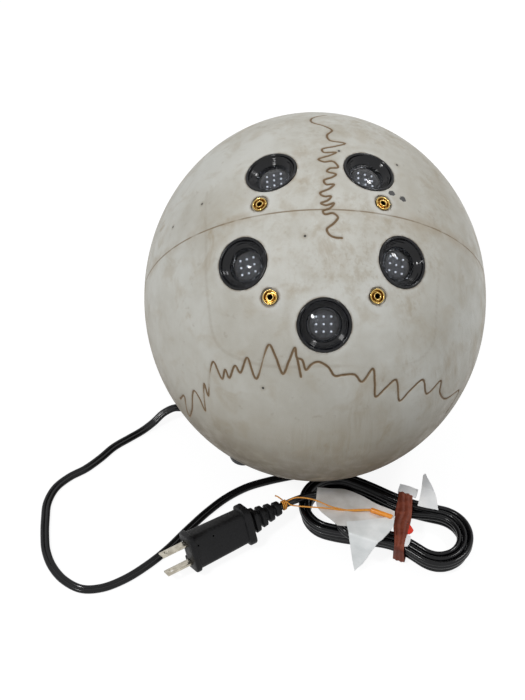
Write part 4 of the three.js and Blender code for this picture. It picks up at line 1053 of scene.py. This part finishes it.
def geometry_tree(name, sizes):
    """A geometry node tree with one named number input per size, and a call that adds a node."""
    tree = bpy.data.node_groups.new(name, "GeometryNodeTree")
    tree.interface.new_socket("Geometry", in_out="OUTPUT", socket_type="NodeSocketGeometry")
    sockets = {}
    for label, value in sizes.items():
        kind = "NodeSocketInt" if isinstance(value, int) else "NodeSocketFloat"
        sockets[label] = tree.interface.new_socket(label, in_out="INPUT", socket_type=kind)
        sockets[label].default_value = value
    node = node_maker(tree)
    return tree, node, node("NodeGroupInput").outputs


def grown(tree, place):
    """The plain mesh that a geometry node tree makes, on its place."""
    seed = linked(tree.name, bpy.data.meshes.new(tree.name))
    growth = seed.modifiers.new("growth", "NODES")
    growth.node_group = tree
    ready = seed.evaluated_get(bpy.context.evaluated_depsgraph_get())
    mesh = bpy.data.meshes.new_from_object(ready)
    seed.modifiers.clear()
    bpy.data.objects.remove(seed)
    mesh.transform(place)
    return mesh


dot_tree, node, size_of = geometry_tree("glinting_beads", dot_sizes)
dots_each_way = size_of["Dots each way"]
span = node("ShaderNodeMath", {0: dots_each_way, 1: -1.0}, operation="ADD").outputs[0]
side = node("ShaderNodeMath", {0: span, 1: size_of["Pitch"]}, operation="MULTIPLY").outputs[0]
grid_sizes = {"Size X": side, "Size Y": side, "Vertices X": dots_each_way, "Vertices Y": dots_each_way}
grid = node("GeometryNodeMeshGrid", grid_sizes).outputs["Mesh"]
bead_sizes = {"Segments": 14, "Rings": 8, "Radius": size_of["Dot radius"]}
bead = node("GeometryNodeMeshUVSphere", bead_sizes).outputs["Mesh"]
spread = node("GeometryNodeInstanceOnPoints", {"Points": grid, "Instance": bead})
real = node("GeometryNodeRealizeInstances", {"Geometry": spread.outputs[0]})
lift = node("ShaderNodeCombineXYZ", {"Z": size_of["Height"]})
placed = node("GeometryNodeTransform", {"Geometry": real.outputs[0], "Translation": lift.outputs[0]})
coated = node("GeometryNodeSetMaterial", {"Geometry": placed.outputs[0], "Material": beads_with_painted_glint})
node("NodeGroupOutput", {"Geometry": coated.outputs[0]})

crown = [
    (share, lens_base + lens_rim + lens_crown * (1 - share * share))
    for share in np.linspace(lens_edge_share, 0, lens_steps)
]
dome = [(lens_radius, lens_base), (lens_radius, lens_base + lens_rim)]
dome += [(lens_radius * share, high) for share, high in crown]
dome += [((lens_radius - lens_wall) * share, high - lens_wall) for share, high in reversed(crown)]
dome.append((lens_radius - lens_wall, lens_base))
board = [(0, board_top), (board_radius, board_top), (board_radius, board_bottom), (0, board_bottom)]
for name, place in lamp_places.items():
    for kind, profile, material, slot, stands_for in (
        ("cup_", softened(cup_profile, cup_softness), cup_black, "black_gloss", "lamp_cup_"),
        ("dome_", dome, smoked_clear, "clear_lens", "lamp_lens_"),
        ("board_", board, board_dark, "white_plastic", "light_board_"),
    ):
        place_piece(kind + name, turned(profile, place), material, (stands_for + name,))
    place_piece("dots_" + name, grown(dot_tree, place), beads_with_painted_glint)


# Brass thread inserts: turned bushes with a bright flange and a raised collar round the thread.
# They are pressed into the carrier behind, and stand in small round recesses of the vault.
insert_profile = [
    (0.0014, -0.0002), (0.0014, -0.011), (0.0032, -0.011), (0.0032, -0.0014),
    (0.0042, -0.0014), (0.0042, -0.0002), (0.0039, 0.0001), (0.0034, -0.0002),
    (0.003, -0.0028), (0.0024, -0.0028), (0.0022, 0), (0.0018, 0.0002),
]
small_softness = 0.0002
turned_brass, node = new_finish("turned_brass")
cloud = cloud_at(node, 600, 3)
brass_face = {
    "Base Color": mixed(node, cloud, (0.74, 0.54, 0.19), (0.33, 0.21, 0.06)),
    "Metallic": 1,
    "Roughness": ranged(node, cloud, 0.12, 0.28),
}
coat(node, brass_face)
for name, place in insert_places.items():
    bush_mesh = turned(softened(insert_profile, small_softness), place, 48)
    place_piece("bush_" + name, bush_mesh, turned_brass, ("thread_insert_" + name,))


# Cord gland: a black rubber strain relief in the left side of the neck, ribbed so that it bends,
# with a flange outside and the root pushed through the wall.
gland_root_radius = 0.005
gland_end_radius = 0.0038
gland_flange_radius = 0.0065
gland_flange = 0.002
gland_ribs = 6
gland_rib_pitch = 0.0035
gland_softness = 0.00025
rib_corners = [(0.0009, 0), (0.001, 0.0012), (0, 0.0014), (0.0001, 0.0034)]
gland_profile = [
    (0, -shell_wall),
    (gland_root_radius, -shell_wall),
    (gland_root_radius, gap),
    (gland_flange_radius, gap),
    (gland_flange_radius, gland_flange),
]
for i in range(gland_ribs):
    radius = gland_root_radius - (gland_root_radius - gland_end_radius) * i / gland_ribs
    start = gland_flange + i * gland_rib_pitch
    gland_profile += [(radius - inside, start + beyond) for inside, beyond in rib_corners]
gland_profile += [(gland_end_radius, 0.0235), (gland_end_radius, gland_length), (0, gland_length)]
soft_black = finish(
    "soft_black", 240, (0.008, 0.008, 0.008), (0.018, 0.018, 0.019), (0.42, 0.6), 0.0001
)
gland_mesh = turned(softened(gland_profile, gland_softness, closed=False), gland_place)
place_piece("cord_relief", gland_mesh, soft_black, ("cord_gland",))


# Base: a moulded black plate closes the neck. Four steel screws go up through it into posts of
# the shells, and the skull stands on four rubber feet whose stems are pushed into the plate.
def dress(material, *names):
    """Gives CAD nodes whose shape is right a better material."""
    for name in names:
        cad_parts[name].material_slots[0].material = material


moulded_black = finish(
    "moulded_black", 700, (0.012, 0.012, 0.013), (0.022, 0.022, 0.023), (0.4, 0.6), 0.00012
)
zinc_steel = finish(
    "zinc_steel", 500, (0.42, 0.43, 0.45), (0.6, 0.6, 0.58), (0.22, 0.4), 0.00002, Metallic=1
)
dress(moulded_black, "base_plate", "lamp_carrier")
foot_profile = [
    (0, 0), (0.0052, 0), (0.0056, 0.0005), (0.0061, 0.0005), (0.0065, 0), (0.0082, 0), (0.009, 0.001),
    (0.0088, 0.0037), (0.008, 0.0047), (0.002, 0.0047), (0.002, 0.008), (0, 0.008),
]
screw_profile = [
    (0, 0), (0.0024, 0), (0.003, 0.0007), (0.003, 0.002),
    (0.0016, 0.002), (0.0016, 0.0135), (0.0006, 0.0158), (0, 0.016),
]
foot_softness = 0.0004
slot_reach = 0.0018
slot_half_width = 0.0003
slot_depth = 0.0011
under_head = -0.001


def underside(name):
    """Place at the middle of the underside of a CAD node's box."""
    low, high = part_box(name)
    return Matrix.Translation(((low[0] + high[0]) / 2, (low[1] + high[1]) / 2, low[2]))


for name in ("front_left", "front_right", "back_left", "back_right"):
    foot_mesh = turned(softened(foot_profile, foot_softness, closed=False), underside("foot_" + name))
    place_piece("pad_" + name, foot_mesh, soft_black, ("foot_" + name,))
    place = underside("base_screw_" + name)
    blank = linked("blank", turned(softened(screw_profile, small_softness, closed=False), place))
    cross = []
    for x, y in ((slot_reach, slot_half_width), (slot_half_width, slot_reach)):
        cross.append(("DIFFERENCE", block((-x, -y, under_head), (x, y, slot_depth), place)))
    screw_mesh = shaped(blank, cross)
    place_piece("screw_" + name, screw_mesh, zinc_steel, ("base_screw_" + name,))


# Driver: a green board on four posts of the base plate, with a taped transformer, a capacitor
# and a white terminal strip, from which a black wire goes up to each lamp board.
for name, *look in (
    ("driver_board", "board_green", 300, (0.008, 0.06, 0.025), (0.014, 0.1, 0.045), (0.3, 0.45), 5e-5),
    ("driver_transformer", "coil_tape", 420, (0.42, 0.24, 0.04), (0.55, 0.36, 0.08), (0.3, 0.5), 6e-5),
    ("driver_capacitor", "sleeve_black", 260, (0.006, 0.006, 0.008), (0.012, 0.012, 0.016), (0.2, 0.3), 3e-5),
    ("terminal_strip", "terminal_white", 480, (0.68, 0.68, 0.65), (0.78, 0.78, 0.76), (0.35, 0.5), 5e-5),
):
    dress(finish(*look), name)
wire_black = finish("wire_black", 600, (0.01, 0.01, 0.01), (0.02, 0.02, 0.02), (0.3, 0.45), 4e-5)
dress(wire_black, *("lamp_wire_" + name for name in lamp_places))
bright_nickel = finish(
    "bright_nickel", 350, (0.36, 0.33, 0.27), (0.6, 0.56, 0.47), (0.12, 0.3), 0.00002, Metallic=1
)
dress(bright_nickel, "fuse_upper", "fuse_lower")


# Plug: a fused two-pin plug moulded in matte black vinyl, with a flange at each end to pull it
# by, and a ribbed relief. The fuse door slides out towards the pins on the face turned away.
plug_thickness = 0.013
plug_softness = 42
dull = 0.2
door_length = 0.02
door_thickness = 0.0018
lip_thickness = 0.0009
door_back = -0.009
door_half = 0.0055
door_grips = 4
first_grip = 0.003
grip_pitch = 0.0016
grip_half_width = 0.0038
grip_depth = 0.0004
fuse_half_room = 0.0053
fuse_radius = 0.0036
blade_spacing = 0.0127
blade_thickness = 0.0015
blade_width = 0.0063
blade_reach = 0.017
blade_in = 0.0085
blade_edge = 0.0004
blade_hole_radius = 0.0016
blade_hole_back = 0.004
dimple_radius = 0.00065
dimple_depth = 0.002
dimple_places = ((0.0055, -0.0066), (0.0163, -0.0052))
past_plug = 0.03
over_plug = 0.02
relief_ribs = 4
relief_width = 0.0146
relief_width_step = 0.0018
relief_thickness = 0.0118
relief_thickness_step = 0.0013

plug_level = Vector((-plug_ahead.y, plug_ahead.x, 0))
plug_side = plug_level * math.cos(plug_tilt) - Vector((0, 0, math.sin(plug_tilt)))
plug_out = plug_level * math.sin(plug_tilt) + Vector((0, 0, math.cos(plug_tilt)))
plug_turn = Matrix((plug_ahead, plug_side, plug_out)).transposed().to_4x4()
plug_place = Matrix.Translation(plug_centre) @ plug_turn

# Each section has a place along the plug, a width, a thickness and a corner radius
plug_sections = [
    (0.0215, 0.0232, 0.0142, 0.0034), (0.0211, 0.0246, 0.0156, 0.004), (0.0207, 0.025, 0.016, 0.0042),
    (0.0186, 0.025, 0.016, 0.0042), (0.0181, 0.0246, 0.0156, 0.004), (0.0178, 0.0236, 0.0138, 0.0036),
    (0.0174, 0.0231, 0.0131, 0.0034), (0.008, 0.0226, 0.013, 0.0034), (-0.006, 0.0218, 0.013, 0.0034),
    (-0.0155, 0.0211, 0.013, 0.0034), (-0.0162, 0.0213, 0.0132, 0.0036), (-0.0166, 0.024, 0.0152, 0.0042),
    (-0.017, 0.0249, 0.0159, 0.0044), (-0.0205, 0.025, 0.016, 0.0044), (-0.0211, 0.0244, 0.0154, 0.0042),
    (-0.0214, 0.0222, 0.0134, 0.0036), (-0.0215, 0.0142, 0.0116, 0.0036),
]

# Each section of a rib has a place from its start, a share of its size and a corner radius
rib_sections = [
    (0.0004, 0.7, 0.002), (0.0017, 0.69, 0.002), (0.0019, 0.93, 0.003),
    (0.0023, 1, 0.0034), (0.005, 0.95, 0.0032), (0.0053, 0.89, 0.003),
]
relief_pitch = relief_length / relief_ribs
for i in range(relief_ribs):
    start = -plug_length / 2 - i * relief_pitch
    wide = relief_width - i * relief_width_step
    thick = relief_thickness - i * relief_thickness_step
    plug_sections += [
        (start - back, wide * share, thick * share, corner) for back, share, corner in rib_sections
    ]
plug_sections[-1] = (-plug_length / 2 - relief_length, *plug_sections[-1][1:])


def round_oblong(wide, high, corner, steps=7):
    """The outline of a rectangle with rounded corners, as points round its middle."""
    corner = min(corner, wide / 2 - 1e-5, high / 2 - 1e-5)
    points = []
    for quarter, (x, y) in enumerate(((1, 1), (-1, 1), (-1, -1), (1, -1))):
        middle = (x * (wide / 2 - corner), y * (high / 2 - corner))
        for turn in np.linspace(quarter, quarter + 1, steps) * math.pi / 2:
            points.append((middle[0] + corner * math.cos(turn), middle[1] + corner * math.sin(turn)))
    return np.array(points)


plug_rings = np.array([
    [(x, side, out) for side, out in round_oblong(wide, thick, corner)]
    for x, wide, thick, corner in plug_sections
])
plug_blank = linked("plug_blank", skin("plug_blank", plug_rings))
plug_blank.data.transform(plug_place)
turned_over = plug_place @ Matrix.Rotation(math.pi, 4, "X")
door_front = door_back + door_length
plug_face = plug_thickness / 2
door_floor = plug_face - door_thickness
lip_top = door_floor + lip_thickness
lip_half = door_half + lip_thickness
blade_root = plug_length / 2 - blade_in


def channel(half, top):
    """The room that the fuse door or its lip slides in, open at the front of the plug."""
    low = (door_back - gap, -half - gap, door_floor - gap)
    return block(low, (past_plug, half + gap, top), turned_over)


fuse_room_low = (-fuse_half_room, -fuse_radius, door_floor - fuse_radius)
fuse_room = block(fuse_room_low, (fuse_half_room, fuse_radius, plug_face), turned_over)
plug_cuts = [channel(door_half, over_plug), channel(lip_half, lip_top + gap), fuse_room]
slit_half = blade_thickness / 2 + gap
slit_high = blade_width / 2 + gap
for side in (-1, 1):
    across = side * blade_spacing / 2
    low = (blade_root - gap, across - slit_half, -slit_high)
    plug_cuts.append(block(low, (past_plug, across + slit_half, slit_high), plug_place))
for x, across in dimple_places:
    place = plug_place @ Matrix.Translation((x, across, 0))
    plug_cuts.append(rod(dimple_radius, plug_face - dimple_depth, over_plug, place, 20))
plug_mesh = shaped(plug_blank, [("DIFFERENCE", tool) for tool in plug_cuts])
plug_mesh.set_sharp_from_angle(angle=math.radians(plug_softness))
plug_black = finish(
    "plug_black", 520, (0.005, 0.005, 0.0055), (0.011, 0.011, 0.012), (0.42, 0.56), 0.00016,
    Specular_IOR_Level=dull,
)
plug_case = place_piece("plug_case", plug_mesh, plug_black, ("plug_body",))

door_lip = block((door_back, -lip_half, door_floor), (door_front, lip_half, lip_top), turned_over)
door_low = (door_back, -door_half, door_floor)
door_parts = [("UNION", block(door_low, (door_front, door_half, plug_face), turned_over))]
for i in range(door_grips):
    low = (door_back + first_grip + i * grip_pitch, -grip_half_width, plug_face - grip_depth)
    high = (low[0] + grip_pitch / 2, grip_half_width, over_plug)
    door_parts.append(("DIFFERENCE", block(low, high, turned_over)))
door_mesh = shaped(door_lip, door_parts)
door_piece = place_piece("fuse_slide", door_mesh, plug_black, ("fuse_door",), "fuse_door")

tip = plug_length / 2 + blade_reach
for name, side in (("upper", -1), ("lower", 1)):
    middle = plug_place @ Matrix.Translation((0, side * blade_spacing / 2, 0))
    low = (blade_root, -blade_thickness / 2, -blade_width / 2)
    pin = block(low, (tip, blade_thickness / 2, blade_width / 2), middle)
    edge = pin.modifiers.new("edge", "BEVEL")
    edge.width = blade_edge
    edge.segments = 3
    hole = Matrix.Translation((tip - blade_hole_back, 0, 0)) @ Matrix.Rotation(math.pi / 2, 4, "X")
    bore = rod(blade_hole_radius, -blade_thickness * 2, blade_thickness * 2, middle @ hole, 32)
    pin_mesh = shaped(pin, [("DIFFERENCE", bore)])
    edged(pin_mesh, 35)
    place_piece("pin_" + name, pin_mesh, bright_nickel, ("plug_blade_" + name,))


# Rubber band: one broad red-brown band stretched round the waist of the hank, a little askew and
# creased into ridges along its length, drawn narrower where it turns under the near runs.
band_slant = -0.26
band_slack = 0.0009
band_step = 0.0006
band_corner = 0.002
band_half_width = 0.005
band_thinnest = 0.00045
band_fold = 0.00052
band_drift = 0.0005
across_steps = 19
under_steps = 7
drawn_from = 0.002
drawn_to = 0.024
band_inner = hank_radius * 2 - far_draw - near_draw + cord_thin + hank_pitch + gap * 2 + band_slack
band_middle = (near_draw - far_draw - band_slack) / 2
band_high = cord_wide + hank_layer + gap * 2
band_turns = round_oblong(band_inner, band_high, band_corner, 13)
band_round = even_line(np.column_stack([band_turns[:, 0] * 0, band_turns]), band_step)
band_seam = even_line(np.vstack([band_round[-1:], band_round[:1]]), band_step)
band_round = np.vstack([band_round, band_seam[1:-1]])
band_rings = []
for i, (_, y, z) in enumerate(band_round):
    _, ahead_y, ahead_z = band_round[(i + 1) % len(band_round)] - band_round[i - 1]
    length = math.hypot(ahead_y, ahead_z)
    out_y, out_z = ahead_z / length, -ahead_y / length
    around = i / len(band_round) * 2 * math.pi
    drawn = 1 - 0.34 * float(ease(drawn_from, drawn_to, -y)) - 0.08 * math.sin(around * 3 + 1)
    middle = waist_place + band_drift * math.sin(around * 2 + 0.6) + band_slant * y
    ring = []
    for share in np.linspace(-1, 1, across_steps):
        fold = abs(math.sin(share * 4.3 + 0.5 * math.sin(around * 5)))
        thick = (band_thinnest + band_fold * fold) * (1 - 0.6 * abs(share) ** 6)
        ring.append((share, thick))
    ring += [(share, 0.0) for share in np.linspace(1, -1, under_steps)]
    for share, thick in ring:
        band_rings.append((
            middle + share * band_half_width * drawn,
            y + out_y * thick + band_middle,
            z + out_z * thick + band_high / 2 + band_thickness,
        ))
band_rings = from_hank(np.array(band_rings)).reshape(len(band_round), -1, 3)
band_mesh = skin("band", band_rings, round_again=True)
band_rubber = finish(
    "band_rubber", 160, (0.13, 0.028, 0.015), (0.26, 0.068, 0.038), (0.42, 0.58), 0.00012,
    Specular_IOR_Level=dull,
)
band_piece = place_piece("hank_band", band_mesh, band_rubber, ("rubber_band",))


# Tags: a creased clear sleeve with a bare white card at the band, a curled paper tag behind it, a
# red and white label strip, and an orange thread from the cord, drawn through a short plastic tube.
millimetres = 1000
paper_thick = 0.0003
card_thick = 0.0005
wide_steps = 30
scrap_steps = 14
over_hank = [-45, -41, -36, -31.5, -27, 6], [1.2, 2.4, 8, 16, 20.6, 20.6]
curl_heights = [15, 18, 27, 33.4], [13.7, 14.2, 18.5, 24]
corner_heights = [20, 24, 28], [13.2, 13.8, 14.6]
stub_heights = [-17, -8, 2], [13.7, 13.9, 14.1]
end_heights = [-19, -8], [13.7, 13.9]


def edge_points(points, count):
    """An edge through points in hank millimetres, as evenly spread points in metres."""
    fine = smooth_line([(x / millimetres, y / millimetres, 0) for x, y in points], 0.0002)
    at = np.linspace(0, len(fine) - 1, count)
    return np.column_stack([np.interp(at, np.arange(len(fine)), fine[:, k]) for k in range(2)])


def bent_sheet(name, edges, thick, crease, lift, heights, steps):
    """A thin creased sheet between four edges: top, right, bottom and left.

    The edges are in hank millimetres, and heights gives places across the hank with their heights.
    """
    top, right, bottom, left = (edge_points(edge, steps) for edge in edges)
    u = np.linspace(0, 1, steps)[:, None, None]
    v = np.linspace(0, 1, steps)[None, :, None]
    plan = (1 - v) * top[:, None] + v * bottom[:, None] + (1 - u) * left[None] + u * right[None]
    plan -= (1 - u) * (1 - v) * top[0] + u * (1 - v) * top[-1] + (1 - u) * v * bottom[0] + u * v * bottom[-1]
    x, y = plan[..., 0], plan[..., 1]
    height = np.interp(y * millimetres, *heights) / millimetres + lift
    height = height + crease * (np.sin(x * 410 + y * 230) + 0.6 * np.sin(x * 170 - y * 520 + 1))
    upper = np.dstack([plan, height]).reshape(-1, 3)
    lower = upper - (0, 0, thick)
    count = steps * steps
    faces = []
    for i in range(steps - 1):
        for j in range(steps - 1):
            a, b, c, d = i * steps + j, (i + 1) * steps + j, (i + 1) * steps + j + 1, i * steps + j + 1
            faces += [(a, b, c, d), (a + count, d + count, c + count, b + count)]
    rim = [i * steps for i in range(steps)]
    rim += [(steps - 1) * steps + j for j in range(1, steps)]
    rim += [i * steps + steps - 1 for i in range(steps - 2, -1, -1)]
    rim += list(range(steps - 2, 0, -1))
    for a, b in zip(rim, rim[1:] + rim[:1]):
        faces.append((b, a, a + count, b + count))
    mesh = bpy.data.meshes.new(name)
    mesh.from_pydata(from_hank(np.vstack([upper, lower])), [], faces)
    made = bmesh.new()
    made.from_mesh(mesh)
    bmesh.ops.recalc_face_normals(made, faces=made.faces)
    made.to_mesh(mesh)
    made.free()
    edged(mesh, 50)
    return mesh


def paper(name, seen_through, tints, aged):
    """Bare tag stock, faintly fibrous and greyed, or a clear sleeve that the light comes through."""
    sheet, node = new_finish(name)
    cloud = cloud_at(node, 110, 4)
    fibre = cloud_at(node, 1500)
    share = node("ShaderNodeMapRange", {"Value": cloud, "From Min": 0.35, "From Max": 0.65}).outputs[0]
    stock = {
        "Base Color": mixed(node, share, *tints),
        "Roughness": ranged(node, cloud, *aged),
        "Normal": bumped(node, fibre, 0.5, 0.0001),
        "Transmission Weight": seen_through,
    }
    coat(node, stock)
    return sheet


tag_white = paper("tag_white", 0, ((0.86, 0.87, 0.87), (0.95, 0.95, 0.94)), (0.5, 0.7))
tag_grey = paper("tag_grey", 0, ((0.76, 0.78, 0.77), (0.9, 0.91, 0.9)), (0.3, 0.45))
tag_clear = paper("tag_clear", 0.08, ((0.8, 0.76, 0.71), (0.97, 0.95, 0.92)), (0.12, 0.24))
tag_red = paper("tag_red", 0, ((0.75, 0.04, 0.02), (0.86, 0.06, 0.03)), (0.4, 0.55))

# Each sheet has its stock, the CAD node that it stands for, a thickness, the height of its
# creases, a lift, its heights over the hank, its steps and its four edges
for name, stock, nodes, thick, crease, lift, heights, steps, *edges in (
    (
        "tag_sleeve", tag_clear, ("tag_large",), paper_thick, 0.00018, 0, over_hank, wide_steps,
        [(-44, -1), (-25, 4.5), (-6, 1.5), (6.5, 0)], [(6.5, 0), (8.5, -8), (8, -17)],
        [(-22, -23.5), (-8, -20), (8, -17)], [(-44, -1), (-38.5, -15), (-22, -23.5)],
    ),
    (
        "tag_card", tag_grey, (), card_thick, 0.00012, 0.0012, over_hank, wide_steps,
        [(-17.5, -20), (-4, -12), (8, -4)], [(8, -4), (9.5, -13), (7, -24)],
        [(-4, -40), (2, -33), (7, -24)], [(-17.5, -20), (-12, -29.5), (-4, -40)],
    ),
    (
        "tag_curl", tag_white, ("tag_small",), paper_thick, 0.00012, 0, curl_heights, wide_steps,
        [(13.6, 32.4), (14.8, 33.4), (16, 32.4)], [(16, 32.4), (24, 26), (29.5, 17)],
        [(16.5, 15.5), (23, 16), (29.5, 17)], [(13.6, 32.4), (15.5, 24), (16.5, 15.5)],
    ),
    (
        "tag_corner", tag_white, (), paper_thick, 0.0001, gap, corner_heights, scrap_steps,
        [(1, 27), (7, 27.4), (13, 27)], [(13, 27), (13.4, 24), (13.5, 21)],
        [(1.5, 21), (8, 21), (13.5, 21)], [(1, 27), (1.2, 24), (1.5, 21)],
    ),
    (
        "tag_stub", tag_red, (), paper_thick, 0.00008, 0, stub_heights, scrap_steps,
        [(14, 0), (17.5, -1.2), (20.5, -4)], [(20.5, -4), (20.3, -6), (19, -8)],
        [(15, -7.8), (17, -7.6), (19, -8)], [(14, 0), (14.6, -4), (15, -7.8)],
    ),
    (
        "tag_end", tag_white, (), paper_thick, 0.00008, 0, end_heights, scrap_steps,
        [(15, -8.3), (18, -8.5), (20.5, -9)], [(20.5, -9), (21.4, -13), (21, -17)],
        [(15.6, -18.6), (18, -18), (21, -17)], [(15, -8.3), (15.2, -13), (15.6, -18.6)],
    ),
):
    mesh = bent_sheet(name, edges, thick, crease, lift, heights, steps)
    place_piece(name, mesh, stock, nodes)

# The thread is a knot of turns round the cord, two strands from it to the tags and one free ear
thread_radius = 0.00042
thread_step = 0.0005
knot_back = 0.0036
knot_pitch = 0.0011
knot_half_width = 0.0022
knot_half_height = 0.0036
bow_points = [
    (-57.5, -16.5, 18.6), (-53.2, -13.6, 20.4), (-47, -12.4, 21.6), (-41.8, -12, 22), (-36, -12.2, 21.8),
    (-29.8, -12.5, 21.5), (-17.1, -10.4, 21.6), (-10.5, -7.6, 22), (-7.2, -6.4, 22.3),
]
slack_points = [
    (-58, -17.2, 18.4), (-54, -19.4, 19.3), (-50.5, -19.4, 20.2), (-43.5, -18, 21.1), (-37.1, -16.3, 21.6),
    (-30, -14.2, 21.7), (-24.1, -12.6, 21.5), (-16, -9.2, 21.7), (-10, -6.6, 22), (-7.2, -5.6, 22.3),
]
ear_points = [
    (0.0016, 0.0036, 0.0002), (0.0022, 0.005, 0.0012), (0.0038, 0.0058, 0.0022), (0.0056, 0.0052, 0.0028),
]
knot_at = cord_line[np.searchsorted(cord_run, cord_run[-1] - knot_back)]
knot_ahead = np.array(plug_ahead)
knot_aside = np.cross(knot_ahead, upright)
thread_lines = [[], *(from_hank(np.array(points) / millimetres) for points in (bow_points, slack_points))]
for turn in np.linspace(0, 2.5 * 2 * math.pi, 90):
    along = knot_ahead * (turn / (2 * math.pi) - 1.2) * knot_pitch
    around = knot_aside * knot_half_width * math.cos(turn) + upright * knot_half_height * math.sin(turn)
    thread_lines[0].append(knot_at + along + around)
thread_lines.append([knot_at + knot_aside * a + upright * b + knot_ahead * c for a, b, c in ear_points])
thread_strands = []
thread_section = round_oblong(thread_radius * 2, thread_radius * 2, thread_radius, 3)
for line in thread_lines:
    line = smooth_line(np.array(line), thread_step)
    strand = swept("strand", line, thread_section, np.tile(upright + 0.01, (len(line), 1)))
    thread_strands.append(strand)


def together(name, meshes):
    """One mesh of several."""
    made = bmesh.new()
    for mesh in meshes:
        made.from_mesh(mesh)
    mesh = bpy.data.meshes.new(name)
    made.to_mesh(mesh)
    made.free()
    mesh.shade_smooth()
    return mesh


thread_orange = finish(
    "thread_orange", 900, (0.84, 0.32, 0.04), (0.96, 0.45, 0.07), (0.5, 0.65), 0.00005
)
tube_orange = finish(
    "tube_orange", 300, (0.9, 0.27, 0.02), (0.98, 0.38, 0.035), (0.25, 0.4), 0.00004
)
thread = place_piece(
    "tag_thread", together("tag_thread", thread_strands), thread_orange, ("tag_string",)
)
tube_length = 0.014
tube_profile = [
    (0.0008, 0.0002), (0.0008, 0.0138), (0.0012, 0.0139), (0.0014, 0.0135), (0.00135, 0.0095),
    (0.0015, 0.0088), (0.0016, 0.0005), (0.0014, 0.0001),
]
tube_low, tube_high = (Vector(corner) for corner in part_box("string_tube"))
tube_place = (
    Matrix.Translation((tube_low + tube_high) / 2)
    @ Matrix.Rotation(hank_turned, 4, "Z")
    @ Matrix.Rotation(math.pi / 2, 4, "Y")
    @ Matrix.Translation((0, 0, -tube_length / 2))
)
tube_mesh = turned(softened(tube_profile, small_softness), tube_place, 32)
tube_piece = place_piece("thread_tube", tube_mesh, tube_orange, ("string_tube",))
